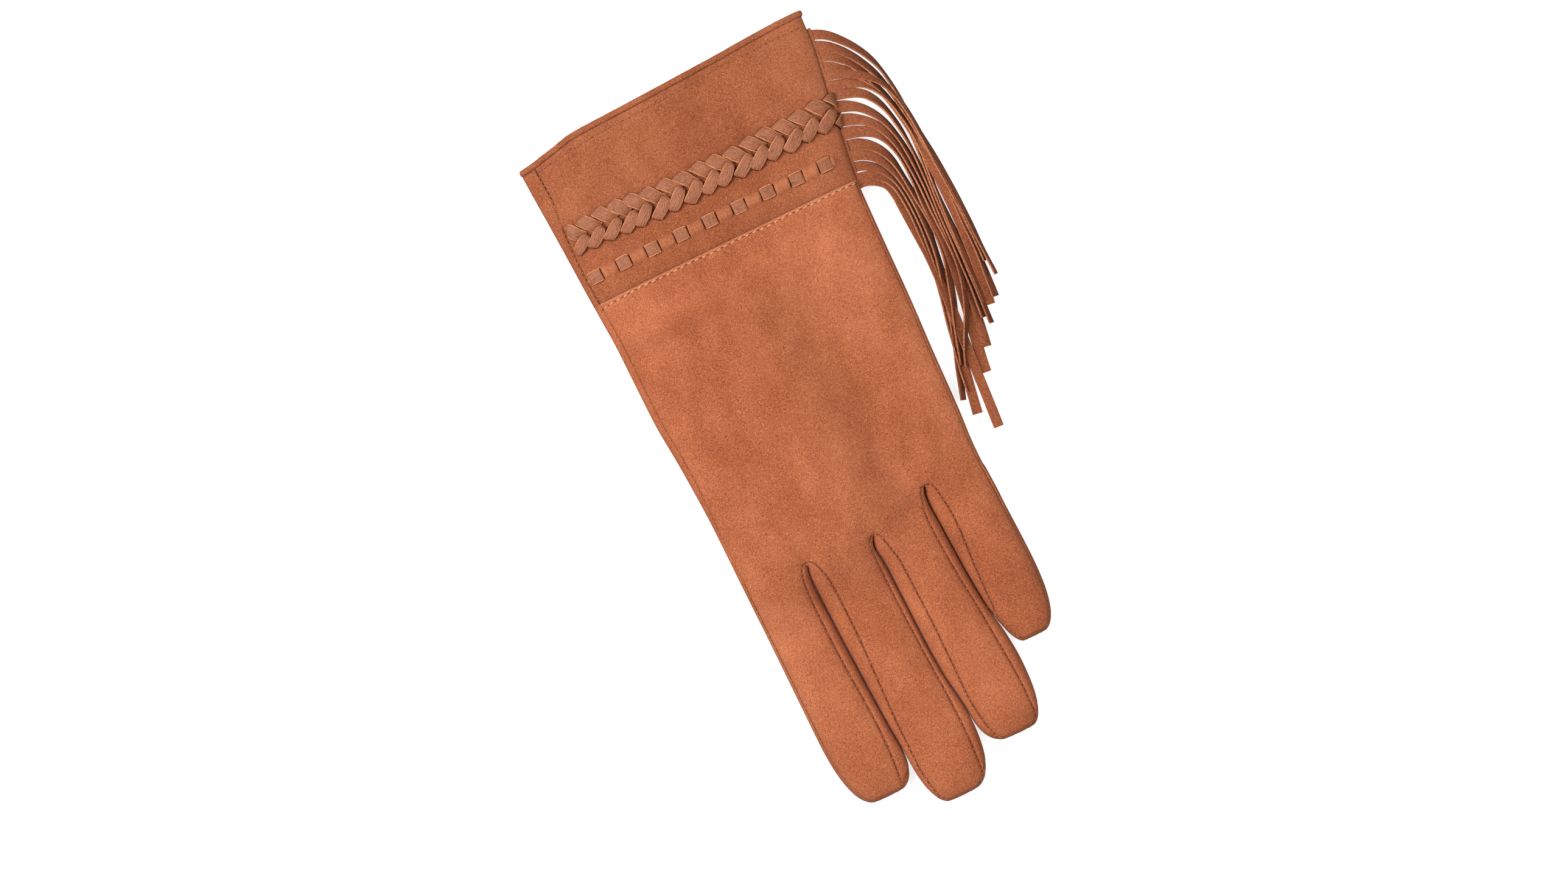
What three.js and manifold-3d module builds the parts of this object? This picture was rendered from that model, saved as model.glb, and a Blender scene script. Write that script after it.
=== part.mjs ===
// A left-hand suede dress glove with a plaited, laced and fringed cuff, lying on its palm.
// Millimetres. +Y runs from the fingertips to the hem, +X to the little finger's side, +Z up.
// The origin lies on the resting face, under the middle of the wrist seam.

import * as THREE from "three";
import { mergeVertices } from "three/addons/utils/BufferGeometryUtils.js";
import Module from "manifold-3d";

const wasm = await Module();
wasm.setup();

// Driving dimensions
const LEATHER = 1.1; // thickness of every suede wall
const SEAM_GAP = 0.3; // clearance between two panels at a seam
const HALF_GAP = SEAM_GAP / 2;
const WRIST_SEAM_Y = 1.3; // where the cuff joins the hand
const BELLY = 0.42; // height of a section's widest level, as a share of its top
const UNDERSIDE_SPREAD = 1.3; // how much wider than an oval the flattened underside is
const HAND_SQUARENESS = 2.8; // superellipse power of the hand's and cuff's sections
const FINGER_SQUARENESS = 2.5;
const TIP_BLUNTNESS = 2.5; // superellipse power of a fingertip's outline
const TIP_LENGTH = 26; // stretch of a finger over which its height rounds off
const TIP_CLOSE = 0.97; // how far that rounding runs before the blunt end
const FINGER_TOP = 12;
const FINGER_ROOT_Y = -92; // where the fingers' tubes start, inside the hand
const FINGER_CLEARANCE = 0.3; // from a crease's middle to the finger beside it
const THUMB_TOP = 6.8;
const THUMB_SQUARENESS = 2.6;
const THUMB_LIFT = THUMB_TOP + SEAM_GAP; // how far the thumb holds the palm off the floor

// Outline and height of the cuff and hand, from the hem down to the finger roots
const HAND_ROWS = [
  { y: 58, left: -51.2, right: 54.2, top: 10.6 },
  { y: 46, left: -50.8, right: 53.2, top: 11 },
  { y: 35, left: -50.2, right: 51.4, top: 11.2 },
  { y: 20, left: -49.5, right: 49.2, top: 11.4 },
  { y: 8, left: -49, right: 47.5, top: 11.5 },
  { y: 0, left: -48.6, right: 46.7, top: 11.5 },
  { y: -20, left: -47.6, right: 46, top: 12 },
  { y: -40, left: -47.4, right: 45.5, top: 12.3 },
  { y: -60, left: -46, right: 44.6, top: 12.3 },
  { y: -80, left: -45.1, right: 43.9, top: 12.2 },
  { y: -95, left: -45, right: 43.1, top: 11.8 },
  { y: -107, left: -45, right: 43.2, top: 10.6 },
];
// Levels at which the cuff's and hand's tube has a section
const HAND_LEVELS = [58, 40, 24, 8, -8, -17, -26, -55, -84, -96, -106];
const HEM_BLEND_Y = 40; // above this the sections slant to follow the hem
const ROOT_BLEND_Y = -84; // below this they follow the crotches between the fingers

// The hem's top edge and the ends of the palm's hollow, from the index side to the little finger's
const HEM_ROWS = [
  { x: -51.2, y: 51.6 },
  { x: -40, y: 53.2 },
  { x: -30, y: 55.2 },
  { x: -10, y: 55.9 },
  { x: 20, y: 57.2 },
  { x: 54.2, y: 58.9 },
];
const HAND_END_ROWS = [
  { x: -45, y: -106 },
  { x: 4, y: -106.5 },
  { x: 20, y: -100.5 },
  { x: 44, y: -100 },
];
const BINDING_WIDTH = 2.2; // of the hem binding
const BINDING_PROUD = 0.4; // how far it stands out from the cuff

// The index side's seam on the back of the glove, as a distance in from the edge
const SIDE_SEAM_ROWS = [
  { y: 60, inset: 5 },
  { y: 40, inset: 5 },
  { y: 28, inset: 3.3 },
  { y: 10, inset: 2.3 },
  { y: -60, inset: 2.1 },
  { y: -86, inset: 1 },
  { y: -200, inset: 1 },
];
const EDGE_SEAM_INSET = 1; // of the seam along the little finger's side and the fingertips

// Creases where neighbouring fingers meet
const CREASES = [
  [
    { y: -92, x: -23 },
    { y: -106, x: -23 },
    { y: -112, x: -23.6 },
    { y: -125, x: -23.5 },
    { y: -145, x: -22.8 },
    { y: -163, x: -22 },
    { y: -176, x: -21.2 },
  ],
  [
    { y: -92, x: -0.6 },
    { y: -107, x: -0.6 },
    { y: -117, x: 0 },
    { y: -145, x: 0.7 },
    { y: -155, x: 1.3 },
    { y: -173, x: 3.3 },
  ],
  [
    { y: -92, x: 22 },
    { y: -113, x: 22 },
    { y: -130, x: 22.7 },
    { y: -144, x: 24 },
    { y: -152, x: 25.5 },
    { y: -163, x: 26.4 },
  ],
];
const INDEX_EDGE = [
  { y: -92, x: -45 },
  { y: -200, x: -45 },
];
const LITTLE_EDGE = [
  { y: -92, x: 43.1 },
  { y: -115, x: 43.8 },
  { y: -135, x: 44.3 },
  { y: -200, x: 44.3 },
];

// Each finger's end, and where its two sides start to round in towards it
const FINGERS = [
  { name: "index", tip: -184.4, tipLeft: -35, tipRight: -29, shoulderLeft: -156, shoulderRight: -171 },
  { name: "middle", tip: -194.7, tipLeft: -13, tipRight: -7, shoulderLeft: -172, shoulderRight: -172 },
  { name: "ring", tip: -184.4, tipLeft: 13, tipRight: 19, shoulderLeft: -170, shoulderRight: -163 },
  { name: "little", tip: -158.2, tipLeft: 31, tipRight: 36, shoulderLeft: -145, shoulderRight: -134 },
];
const FINGER_LEVELS = [FINGER_ROOT_Y, -105, -130, -158];
const TIP_STEPS = [0.42, 0.74, 0.92, 1];
// Faces round a section of the hand and of a finger, outside and inside the leather
const HAND_SIDES = { outside: 22, inside: 16 };
const FINGER_SIDES = { outside: 14, inside: 10 };

// Seams on the back of the glove, to the finger on the left and on the right of each fourchette
const FOURCHETTES = [
  {
    name: "fourchette_index_middle",
    rows: [
      { y: -103.6, left: -23.4, right: -22.6 },
      { y: -105, left: -24.5, right: -21 },
      { y: -109, left: -25.3, right: -19.3 },
      { y: -116, left: -26.4, right: -18.2 },
      { y: -130, left: -26.5, right: -18 },
      { y: -165, left: -25.1, right: -19.1 },
      { y: -180, left: -26, right: -19 },
      { y: -190, left: -28, right: -17.5 },
      { y: -200, left: -29, right: -15 },
    ],
  },
  {
    name: "fourchette_middle_ring",
    rows: [
      { y: -104.2, left: -0.2, right: 0.6 },
      { y: -106, left: -1.4, right: 2 },
      { y: -111, left: -1.9, right: 4 },
      { y: -117, left: -1.9, right: 5 },
      { y: -145, left: -1.2, right: 5.6 },
      { y: -165, left: -0.3, right: 5.4 },
      { y: -176, left: -0.2, right: 6.5 },
      { y: -190, left: -1, right: 11 },
      { y: -200, left: -4, right: 12 },
    ],
  },
  {
    name: "fourchette_ring_little",
    rows: [
      { y: -98, left: 21.6, right: 22.6 },
      { y: -100, left: 20.6, right: 24.8 },
      { y: -104, left: 19.6, right: 26.1 },
      { y: -113, left: 19, right: 26.9 },
      { y: -130, left: 19.9, right: 25.9 },
      { y: -144, left: 21.3, right: 25.5 },
      { y: -150, left: 21.7, right: 25.4 },
      { y: -153, left: 22, right: 25.8 },
      { y: -158, left: 22.3, right: 26.5 },
      { y: -172, left: 23, right: 29 },
      { y: -200, left: 22, right: 29 },
    ],
  },
];
const PALM_SEAM_HEIGHT = 1.9; // of the fourchettes' lower seams above the underside

// The thumb's pocket, and the oval hole that joins it to the palm
const THUMB_ROWS = [
  { y: -27, left: -37, right: -21 },
  { y: -31, left: -42, right: -16.6 },
  { y: -38, left: -43.8, right: -14.8 },
  { y: -62, left: -43, right: -15.2 },
  { y: -80, left: -39.6, right: -17.6 },
  { y: -91, left: -35, right: -21.4 },
  { y: -95, left: -30.8, right: -25.2 },
];
const THUMB_SIDES = 12;
const THUMB_HOLE = { x: -29, y: -48, halfWidth: 10, halfLength: 15 };

// The fade of the thumb's lift across and along the hand
const LIFT_SIDE_FROM = -10;
const LIFT_SIDE_TO = 24;
const LIFT_WRIST_FROM = -8;
const LIFT_WRIST_TO = -25;
const LIFT_FINGER_FROM = -98;
const LIFT_FINGER_TO = -126;

// Plaited band
const BRAID_Y = 24;
const BRAID_LEFT = -46;
const BRAID_RIGHT = 48.6;
const BRAID_PITCH = 6.05; // from one turn of a strand to the next along one side
const BRAID_WIDTH = 11.6;
const BRAID_HEIGHT = 2.6; // of the ribs, of the band's edges, and how deep the grooves between ribs are
const BRAID_EDGE_HEIGHT = 1.3;
const BRAID_GROOVE = 0.8;
const BRAID_SCALLOP = 0.7; // how far the edge draws in at a groove
const BRAID_SLANT = 4; // how far a rib leans along the band on its way to the edge
const RIB_STEPS = 4; // grid columns to a rib

// Running lace
const LACE_Y = 9.6;
const LACE_WIDTH = 4.2;
const LACE_THICKNESS = 0.8;
const LACE_DASHES = 9;
const LACE_FIRST_X = -43.7; // middle of the dash next to the side seam
const LACE_PITCH = 10.38;
const LACE_DASH = 5.3;

// Fringe
const STRIP_WIDTH = 3.3;
const STRIP_THICKNESS = 1;
const STRIP_PITCH = 3.45;
const FIRST_STRIP_Y = 51.7;
const HEADER_Z = 5.3;
const HEADER_THICKNESS = 1;
const HEADER_INSIDE = 4; // how deep the header reaches into the cuff
const HEADER_OUTSIDE = 0.9;
const STRIP_ROLL = THREE.MathUtils.degToRad(62); // how far the strips lean on each other
const TIP_ROLL = THREE.MathUtils.degToRad(38);
const STRIP_SEGMENTS = 11;
// A strip leaves the seam, bends down into its lane and ends at its tip, the outermost strip first
const OUTER_LANE_X = 73.6;
const LANE_PITCH = 1.22;
const OUTER_TIP_X = 74;
const TIP_PITCH = 1.92;
const STRIP_LENGTHS = [105, 106, 103, 105, 101, 104, 103, 101, 103, 100, 104, 108, 102, 98, 92];

const SUEDE = { color: 0xbc6b47, roughness: 0.95, metalness: 0 };
const GRAIN_LEATHER = { color: 0x9a6449, roughness: 0.5, metalness: 0 };

const MERGE_DISTANCE = 1e-5;

// Reads one column of a table at a place between its rows
function between(rows, by, column, at) {
  const descending = rows[0][by] > rows[rows.length - 1][by];
  const ordered = descending ? [...rows].reverse() : rows;
  if (at <= ordered[0][by]) return ordered[0][column];
  for (let i = 1; i < ordered.length; i += 1) {
    const low = ordered[i - 1];
    const high = ordered[i];
    if (at <= high[by]) {
      const share = (at - low[by]) / (high[by] - low[by]);
      return THREE.MathUtils.lerp(low[column], high[column], share);
    }
  }
  return ordered[ordered.length - 1][column];
}

// Goes smoothly from 0 at the first place to 1 at the second, whichever is larger
function ease(from, to, at) {
  return THREE.MathUtils.smootherstep((at - from) / (to - from), 0, 1);
}

// How far the folded thumb lifts the palm at a place
function lift(x, y) {
  const across = 1 - ease(LIFT_SIDE_FROM, LIFT_SIDE_TO, x);
  const atWrist = ease(LIFT_WRIST_FROM, LIFT_WRIST_TO, y);
  const atFingers = 1 - ease(LIFT_FINGER_FROM, LIFT_FINGER_TO, y);
  return THUMB_LIFT * across * atWrist * atFingers;
}

// A geometry's shared vertices merged, as a solid that can be cut
function solidOf(geometry) {
  const bare = geometry.clone();
  bare.deleteAttribute("normal");
  bare.deleteAttribute("uv");
  const merged = mergeVertices(bare, MERGE_DISTANCE);
  return new wasm.Manifold(
    new wasm.Mesh({
      numProp: 3,
      vertProperties: new Float32Array(merged.attributes.position.array),
      triVerts: new Uint32Array(merged.index.array),
    }),
  );
}

function meshOf(name, solid, finish) {
  const cut = solid.getMesh();
  const geometry = new THREE.BufferGeometry();
  geometry.setAttribute("position", new THREE.BufferAttribute(new Float32Array(cut.vertProperties), 3));
  geometry.setIndex(new THREE.BufferAttribute(new Uint32Array(cut.triVerts), 1));
  geometry.computeVertexNormals();
  const mesh = new THREE.Mesh(geometry, new THREE.MeshStandardMaterial(finish));
  mesh.name = name;
  return mesh;
}

// Moves every vertex of a geometry to where place(point) puts it
function shaped(geometry, place) {
  const points = geometry.attributes.position;
  const point = new THREE.Vector3();
  for (let i = 0; i < points.count; i += 1) {
    point.fromBufferAttribute(points, i);
    place(point);
    points.setXYZ(i, point.x, point.y, point.z);
  }
  return solidOf(geometry);
}

// A closed tube along Y through the given sections. section(level) gives its left and right side, its
// belly's height, how far it reaches above and below that, and the level of each x.
function tube(levels, around, squareness, section) {
  const geometry = new THREE.CylinderGeometry(1, 1, 1, around, levels.length - 1);
  const power = 2 / squareness;
  return shaped(geometry, (point) => {
    const step = Math.round((0.5 - point.y) * (levels.length - 1));
    const ring = section(levels[step]);
    const radius = Math.hypot(point.x, point.z);
    const cosine = radius > 0 ? point.x / radius : 0;
    const sine = radius > 0 ? point.z / radius : 0;
    const across = Math.sign(cosine) * Math.abs(cosine) ** power * radius;
    const up = Math.sign(sine) * Math.abs(sine) ** power * radius;
    const middle = (ring.left + ring.right) / 2;
    const x = middle + (across * (ring.right - ring.left)) / 2;
    const y = ring.levelAt(x);
    const raw = ring.belly + up * (up > 0 ? ring.above : ring.below);
    point.set(x, y, Math.max(raw, ring.floor) + lift(x, y));
  });
}

// The cuff's and hand's tube, drawn in from its outline by the inset
function handTube(inset, topLevelAt) {
  const sides = inset > 0 ? HAND_SIDES.inside : HAND_SIDES.outside;
  return tube(HAND_LEVELS, sides, HAND_SQUARENESS, (level) => {
    const top = between(HAND_ROWS, "y", "top", level);
    const belly = top * BELLY;
    return {
      left: between(HAND_ROWS, "y", "left", level) + inset,
      right: between(HAND_ROWS, "y", "right", level) - inset,
      belly,
      above: top - inset - belly,
      below: (belly - Math.max(inset, 0)) * UNDERSIDE_SPREAD,
      floor: Math.max(inset, 0),
      levelAt: (x) => {
        if (level > HEM_BLEND_Y) {
          const share = (level - HEM_BLEND_Y) / (HAND_LEVELS[0] - HEM_BLEND_Y);
          return THREE.MathUtils.lerp(HEM_BLEND_Y, topLevelAt(x), share);
        }
        if (level < ROOT_BLEND_Y) {
          const last = HAND_LEVELS[HAND_LEVELS.length - 1];
          const share = (level - ROOT_BLEND_Y) / (last - ROOT_BLEND_Y);
          return THREE.MathUtils.lerp(ROOT_BLEND_Y, between(HAND_END_ROWS, "x", "y", x) + inset, share);
        }
        return level;
      },
    };
  });
}

// One side of a finger at a level: its crease or edge, rounded in towards the tip
function fingerSide(finger, side, level, inset) {
  const number = FINGERS.indexOf(finger);
  const rows = side === "left" ? CREASES[number - 1] ?? INDEX_EDGE : CREASES[number] ?? LITTLE_EDGE;
  const isCrease = rows !== INDEX_EDGE && rows !== LITTLE_EDGE;
  const inward = side === "left" ? 1 : -1;
  const base = between(rows, "y", "x", level) + inward * (inset + (isCrease ? FINGER_CLEARANCE : 0));
  const shoulder = side === "left" ? finger.shoulderLeft : finger.shoulderRight;
  const tip = side === "left" ? finger.tipLeft : finger.tipRight;
  const along = THREE.MathUtils.clamp((level - shoulder) / (finger.tip + inset - shoulder), 0, 1);
  return THREE.MathUtils.lerp(base, tip, 1 - (1 - along ** TIP_BLUNTNESS) ** (1 / TIP_BLUNTNESS));
}

function fingerTube(finger, inset) {
  const roundFrom = finger.tip + TIP_LENGTH;
  const tipSteps = TIP_STEPS.map((step) => THREE.MathUtils.lerp(roundFrom, finger.tip + inset, step));
  const levels = [...FINGER_LEVELS.filter((level) => level >= roundFrom - 1), ...tipSteps];
  const sides = inset > 0 ? FINGER_SIDES.inside : FINGER_SIDES.outside;
  return tube(levels, sides, FINGER_SQUARENESS, (level) => {
    const along = THREE.MathUtils.clamp((level - roundFrom) / (finger.tip + inset - roundFrom), 0, 1);
    const round = (1 - (along * TIP_CLOSE) ** TIP_BLUNTNESS) ** (1 / TIP_BLUNTNESS);
    const rootDip = 1.3 * (1 - ease(FINGER_ROOT_Y, -104, level));
    const belly = FINGER_TOP * BELLY;
    return {
      left: fingerSide(finger, "left", level, inset),
      right: fingerSide(finger, "right", level, inset),
      belly,
      above: (FINGER_TOP - rootDip - inset - belly) * round,
      below: (belly - inset) * UNDERSIDE_SPREAD * round,
      floor: inset,
      levelAt: () => level,
    };
  });
}

// A flat outline of [x, y] points made a prism between two heights
function prism(outline, low, high) {
  const shape = new THREE.Shape(outline.map(([x, y]) => new THREE.Vector2(x, y)));
  const geometry = new THREE.ExtrudeGeometry(shape, { depth: high - low, bevelEnabled: false });
  geometry.translate(0, 0, low);
  return solidOf(geometry);
}

// Everything that lies a given height above the lifted underside
function above(height) {
  const geometry = new THREE.BoxGeometry(150, 290, 1, 14, 24, 1);
  return shaped(geometry, (point) => {
    point.y -= 70;
    point.z = point.z > 0 ? 60 : lift(point.x, point.y) + height;
  });
}

const hemAt = (x) => between(HEM_ROWS, "x", "y", x);
const leftEdgeAt = (y) => (y > FINGER_ROOT_Y ? between(HAND_ROWS, "y", "left", y) : INDEX_EDGE[0].x);
const rightEdgeAt = (y) => between(HAND_ROWS, "y", "right", y);
const sideSeamAt = (y) => leftEdgeAt(y) + between(SIDE_SEAM_ROWS, "y", "inset", y);

const OUTSIDE = 70; // past the glove's edge
const HEM_TOP = 66; // past the hem
const FLOOR = -5; // below the glove
const CEILING = 40; // above it

// The band of the cuff or hand between two levels that slant with the hem, over its whole width
function acrossBand(lowAt, highAt) {
  const columns = [-OUTSIDE, ...HEM_ROWS.map((row) => row.x), OUTSIDE];
  const lower = columns.map((x) => [x, lowAt(x)]);
  const upper = [...columns].reverse().map((x) => [x, highAt(x)]);
  return prism([...lower, ...upper], FLOOR, CEILING);
}

// Outline of the hand's back panel without the fourchettes, grown by a margin
function handBackOutline(margin) {
  const outline = [];
  const sideLevels = [WRIST_SEAM_Y, -20, -40, -60, -86, -120];
  sideLevels.forEach((y) => outline.push([sideSeamAt(y) - margin, y === WRIST_SEAM_Y ? y - HALF_GAP : y]));
  FINGERS.forEach((finger) => {
    const inset = EDGE_SEAM_INSET - margin;
    const end = finger.tip + inset;
    const steps = [-0.4, 0.3, 0.55, 0.78, 0.92, 1];
    const walk = (side, shoulder) =>
      steps.map((step) => {
        const level = THREE.MathUtils.lerp(shoulder, end, step);
        return [fingerSide(finger, side, level, inset), level];
      });
    outline.push(...walk("left", finger.shoulderLeft), ...walk("right", finger.shoulderRight).reverse());
  });
  const little = FINGERS[FINGERS.length - 1];
  [-120, -105].forEach((y) => outline.push([fingerSide(little, "right", y, EDGE_SEAM_INSET - margin), y]));
  [-95, -80, -60, -40, -20, WRIST_SEAM_Y].forEach((y) => {
    outline.push([rightEdgeAt(y) - EDGE_SEAM_INSET + margin, y === WRIST_SEAM_Y ? y - HALF_GAP : y]);
  });
  return outline;
}

// Outline between the two seams of a fourchette, grown by a margin
function fourchetteOutline(rows, margin) {
  const left = rows.map((row, i) => [row.left - margin, row.y + (i === 0 ? margin : 0)]);
  const right = rows.map((row, i) => [row.right + margin, row.y + (i === 0 ? margin : 0)]);
  return [...left, ...right.reverse()];
}

// Outline of the cuff's back panel, from the side seam to past the other edge
function cuffBackOutline(margin) {
  const levels = [WRIST_SEAM_Y + HALF_GAP, 10, 20, 28, 34, 40, 50, HEM_TOP];
  const seam = levels.map((y) => [sideSeamAt(y) - margin, y]);
  return [[OUTSIDE, WRIST_SEAM_Y + HALF_GAP], [OUTSIDE, HEM_TOP], ...seam.reverse()];
}

// Height of the cuff's outer surface at a place
function cuffSurface(x, y) {
  const left = between(HAND_ROWS, "y", "left", y);
  const right = between(HAND_ROWS, "y", "right", y);
  const top = between(HAND_ROWS, "y", "top", y);
  const across = Math.min(Math.abs((2 * x - left - right) / (right - left)), 1);
  const up = (1 - across ** HAND_SQUARENESS) ** (1 / HAND_SQUARENESS);
  return top * BELLY + up * top * (1 - BELLY);
}

// The leather shell of the hand, cuff and fingers
const outer = FINGERS.reduce((body, finger) => body.add(fingerTube(finger, 0)), handTube(0, hemAt));
const inner = FINGERS.reduce(
  (body, finger) => body.add(fingerTube(finger, LEATHER)),
  handTube(LEATHER, (x) => hemAt(x) + LEATHER),
);
const shell = outer.subtract(inner);

const bindingSeamAt = (x) => hemAt(x) - BINDING_WIDTH;
const handBand = acrossBand(() => -210, () => WRIST_SEAM_Y - HALF_GAP);
const cuffBand = acrossBand(() => WRIST_SEAM_Y + HALF_GAP, (x) => bindingSeamAt(x) - HALF_GAP);
const hemBand = acrossBand((x) => bindingSeamAt(x) + HALF_GAP, () => HEM_TOP);

// The fringe's header passes between the cuff's two halves with clearance on both sides
const headerHalf = HEADER_THICKNESS / 2 + SEAM_GAP;
const aboveHeader = above(HEADER_Z + headerHalf);
const fromBelowHeader = above(HEADER_Z - headerHalf);

function handBack() {
  let panel = shell.intersect(prism(handBackOutline(-HALF_GAP), FLOOR, CEILING)).intersect(aboveHeader);
  FOURCHETTES.forEach(({ rows }) => {
    panel = panel.subtract(prism(fourchetteOutline(rows, HALF_GAP), FLOOR, CEILING));
  });
  return panel;
}

function fourchette(rows) {
  const strip = prism(fourchetteOutline(rows, -HALF_GAP), FLOOR, CEILING);
  return shell.intersect(strip).intersect(above(PALM_SEAM_HEIGHT + HALF_GAP));
}

// The thumb's pocket lies on the floor, so it takes no lift
function thumbTube(inset) {
  const levels = THUMB_ROWS.map((row) => row.y);
  const power = 2 / THUMB_SQUARENESS;
  const geometry = new THREE.CylinderGeometry(1, 1, 1, THUMB_SIDES, levels.length - 1);
  const middleLevel = (levels[0] + levels[levels.length - 1]) / 2;
  const halfLength = (levels[0] - levels[levels.length - 1]) / 2;
  return shaped(geometry, (point) => {
    const row = THUMB_ROWS[Math.round((0.5 - point.y) * (levels.length - 1))];
    const radius = Math.hypot(point.x, point.z);
    const cosine = radius > 0 ? point.x / radius : 0;
    const sine = radius > 0 ? point.z / radius : 0;
    const across = Math.sign(cosine) * Math.abs(cosine) ** power * radius;
    const up = Math.sign(sine) * Math.abs(sine) ** power * radius;
    const halfWidth = (row.right - row.left) / 2 - inset;
    const nearEnd = Math.abs((row.y - middleLevel) / halfLength);
    const round = (1 - 0.5 * nearEnd ** 10);
    const belly = THUMB_TOP / 2;
    const y = middleLevel + (row.y - middleLevel) * (1 - inset / halfLength);
    point.set(
      (row.left + row.right) / 2 + across * halfWidth,
      y,
      Math.max(belly + up * (THUMB_TOP / 2 - inset) * round * (up > 0 ? 1 : UNDERSIDE_SPREAD), Math.max(inset, 0)),
    );
  });
}

function thumbHole() {
  const outline = new THREE.EllipseCurve(
    THUMB_HOLE.x,
    THUMB_HOLE.y,
    THUMB_HOLE.halfWidth,
    THUMB_HOLE.halfLength,
  );
  const points = outline.getPoints(18).slice(0, -1);
  return prism(points.map(({ x, y }) => [x, y]), THUMB_TOP / 2, THUMB_LIFT + 2 * LEATHER);
}

function thumb() {
  return thumbTube(0).subtract(thumbTube(LEATHER)).subtract(thumbHole());
}

function palm() {
  const backCut = prism(handBackOutline(HALF_GAP), FLOOR, CEILING).intersect(fromBelowHeader);
  let panel = shell.intersect(handBand).subtract(backCut);
  FOURCHETTES.forEach(({ rows }) => {
    const strip = prism(fourchetteOutline(rows, HALF_GAP), FLOOR, CEILING);
    panel = panel.subtract(strip.intersect(above(PALM_SEAM_HEIGHT - HALF_GAP)));
  });
  return panel.subtract(thumbTube(-SEAM_GAP)).subtract(thumbHole());
}

// The lace as one strip: over the leather in each dash, through a slit, and under it to the next.
// A margin makes it larger all round, which gives the slits.
function lace(margin) {
  const half = LACE_THICKNESS / 2 + margin;
  const over = SEAM_GAP + LACE_THICKNESS / 2;
  const under = -LEATHER - SEAM_GAP - LACE_THICKNESS / 2;
  const upper = [];
  const lower = [];
  const run = (side, from, to, height) => {
    [from, (from + to) / 2, to].forEach((x) => {
      side.push(new THREE.Vector2(x, cuffSurface(x, LACE_Y) + height));
    });
  };
  for (let dash = 0; dash < LACE_DASHES; dash += 1) {
    const start = LACE_FIRST_X + dash * LACE_PITCH - LACE_DASH / 2 - margin;
    const end = start + LACE_DASH + 2 * margin;
    const next = start + LACE_PITCH;
    const isLast = dash === LACE_DASHES - 1;
    run(upper, start, end, over + half);
    run(lower, dash === 0 ? start : start + 2 * half, isLast ? end : end - 2 * half, over - half);
    if (isLast) break;
    run(upper, end, next, under + half);
    run(lower, end - 2 * half, next + 2 * half, under - half);
  }
  const width = LACE_WIDTH + 2 * margin;
  const outline = new THREE.Shape([...upper, ...lower.reverse()]);
  const strip = new THREE.ExtrudeGeometry(outline, { depth: width, bevelEnabled: false });
  strip.rotateX(Math.PI / 2);
  strip.translate(0, LACE_Y + width / 2, 0);
  return solidOf(strip);
}

// The plait as one relief: a rib for each turn of a strand, slanting outwards from the middle line on
// both sides, half a pitch apart. The grid is slanted with the ribs, so each groove lies on a grid line.
function braid() {
  const length = BRAID_RIGHT - BRAID_LEFT;
  const columns = Math.round(length / BRAID_PITCH) * RIB_STEPS;
  const box = new THREE.BoxGeometry(length, 2, 1, columns, 4, 1);
  return shaped(box, (point) => {
    const share = point.x / length + 0.5;
    const side = Math.sign(point.y);
    const fromMiddle = Math.abs(point.y);
    const rib = (share * columns) / RIB_STEPS + (side < 0 ? 0.5 : 0);
    const swell = fromMiddle > 0 ? 0.5 - 0.5 * Math.cos(2 * Math.PI * rib) : 0.6;
    const reach = BRAID_WIDTH / 2 - (fromMiddle === 1 ? BRAID_SCALLOP * (1 - swell) : 0);
    const slant = BRAID_SLANT * (0.5 - fromMiddle) * Math.sin(Math.PI * share) ** 0.2;
    const x = THREE.MathUtils.clamp(point.x + (BRAID_LEFT + BRAID_RIGHT) / 2 + slant, BRAID_LEFT, BRAID_RIGHT);
    const y = BRAID_Y + side * fromMiddle * reach;
    const crown = fromMiddle === 1 ? BRAID_EDGE_HEIGHT : BRAID_HEIGHT;
    const rise = point.z > 0 ? crown - BRAID_GROOVE * (1 - swell) : 0;
    point.set(x, y, cuffSurface(x, y) + SEAM_GAP + rise);
  });
}

function cuffBack() {
  const outline = prism(cuffBackOutline(-HALF_GAP), FLOOR, CEILING);
  return shell.intersect(cuffBand).intersect(outline).intersect(aboveHeader).subtract(lace(SEAM_GAP));
}

function cuffPalm() {
  const outline = prism(cuffBackOutline(HALF_GAP), FLOOR, CEILING);
  return shell.intersect(cuffBand).subtract(outline.intersect(fromBelowHeader)).subtract(lace(SEAM_GAP));
}

function hemBinding() {
  const outside = handTube(-BINDING_PROUD, hemAt);
  return outside.subtract(inner).intersect(hemBand);
}

// The middle line of one fringe strip: out of the seam, round its bend and down to its tip
function stripCurve(number) {
  const lane = OUTER_LANE_X - number * LANE_PITCH;
  const rootY = FIRST_STRIP_Y - number * STRIP_PITCH;
  const rootX = rightEdgeAt(rootY);
  const reach = lane - rootX;
  const drop = 1.9 * reach - 5;
  const points = [];
  for (let degrees = 0; degrees <= 90; degrees += 15) {
    const turn = THREE.MathUtils.degToRad(degrees);
    points.push(new THREE.Vector3(rootX + reach * Math.sin(turn), rootY - drop * (1 - Math.cos(turn)), 0));
  }
  const bendLength = new THREE.CatmullRomCurve3(points).getLength();
  const sideways = OUTER_TIP_X - number * TIP_PITCH - lane;
  const fall = Math.sqrt((STRIP_LENGTHS[number] - bendLength) ** 2 - sideways ** 2);
  for (let step = 1; step <= 5; step += 1) {
    const share = step / 5;
    points.push(new THREE.Vector3(lane + sideways * share ** 1.6, rootY - drop - fall * share, 0));
  }
  return { curve: new THREE.CatmullRomCurve3(points), bend: bendLength / STRIP_LENGTHS[number] };
}

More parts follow.
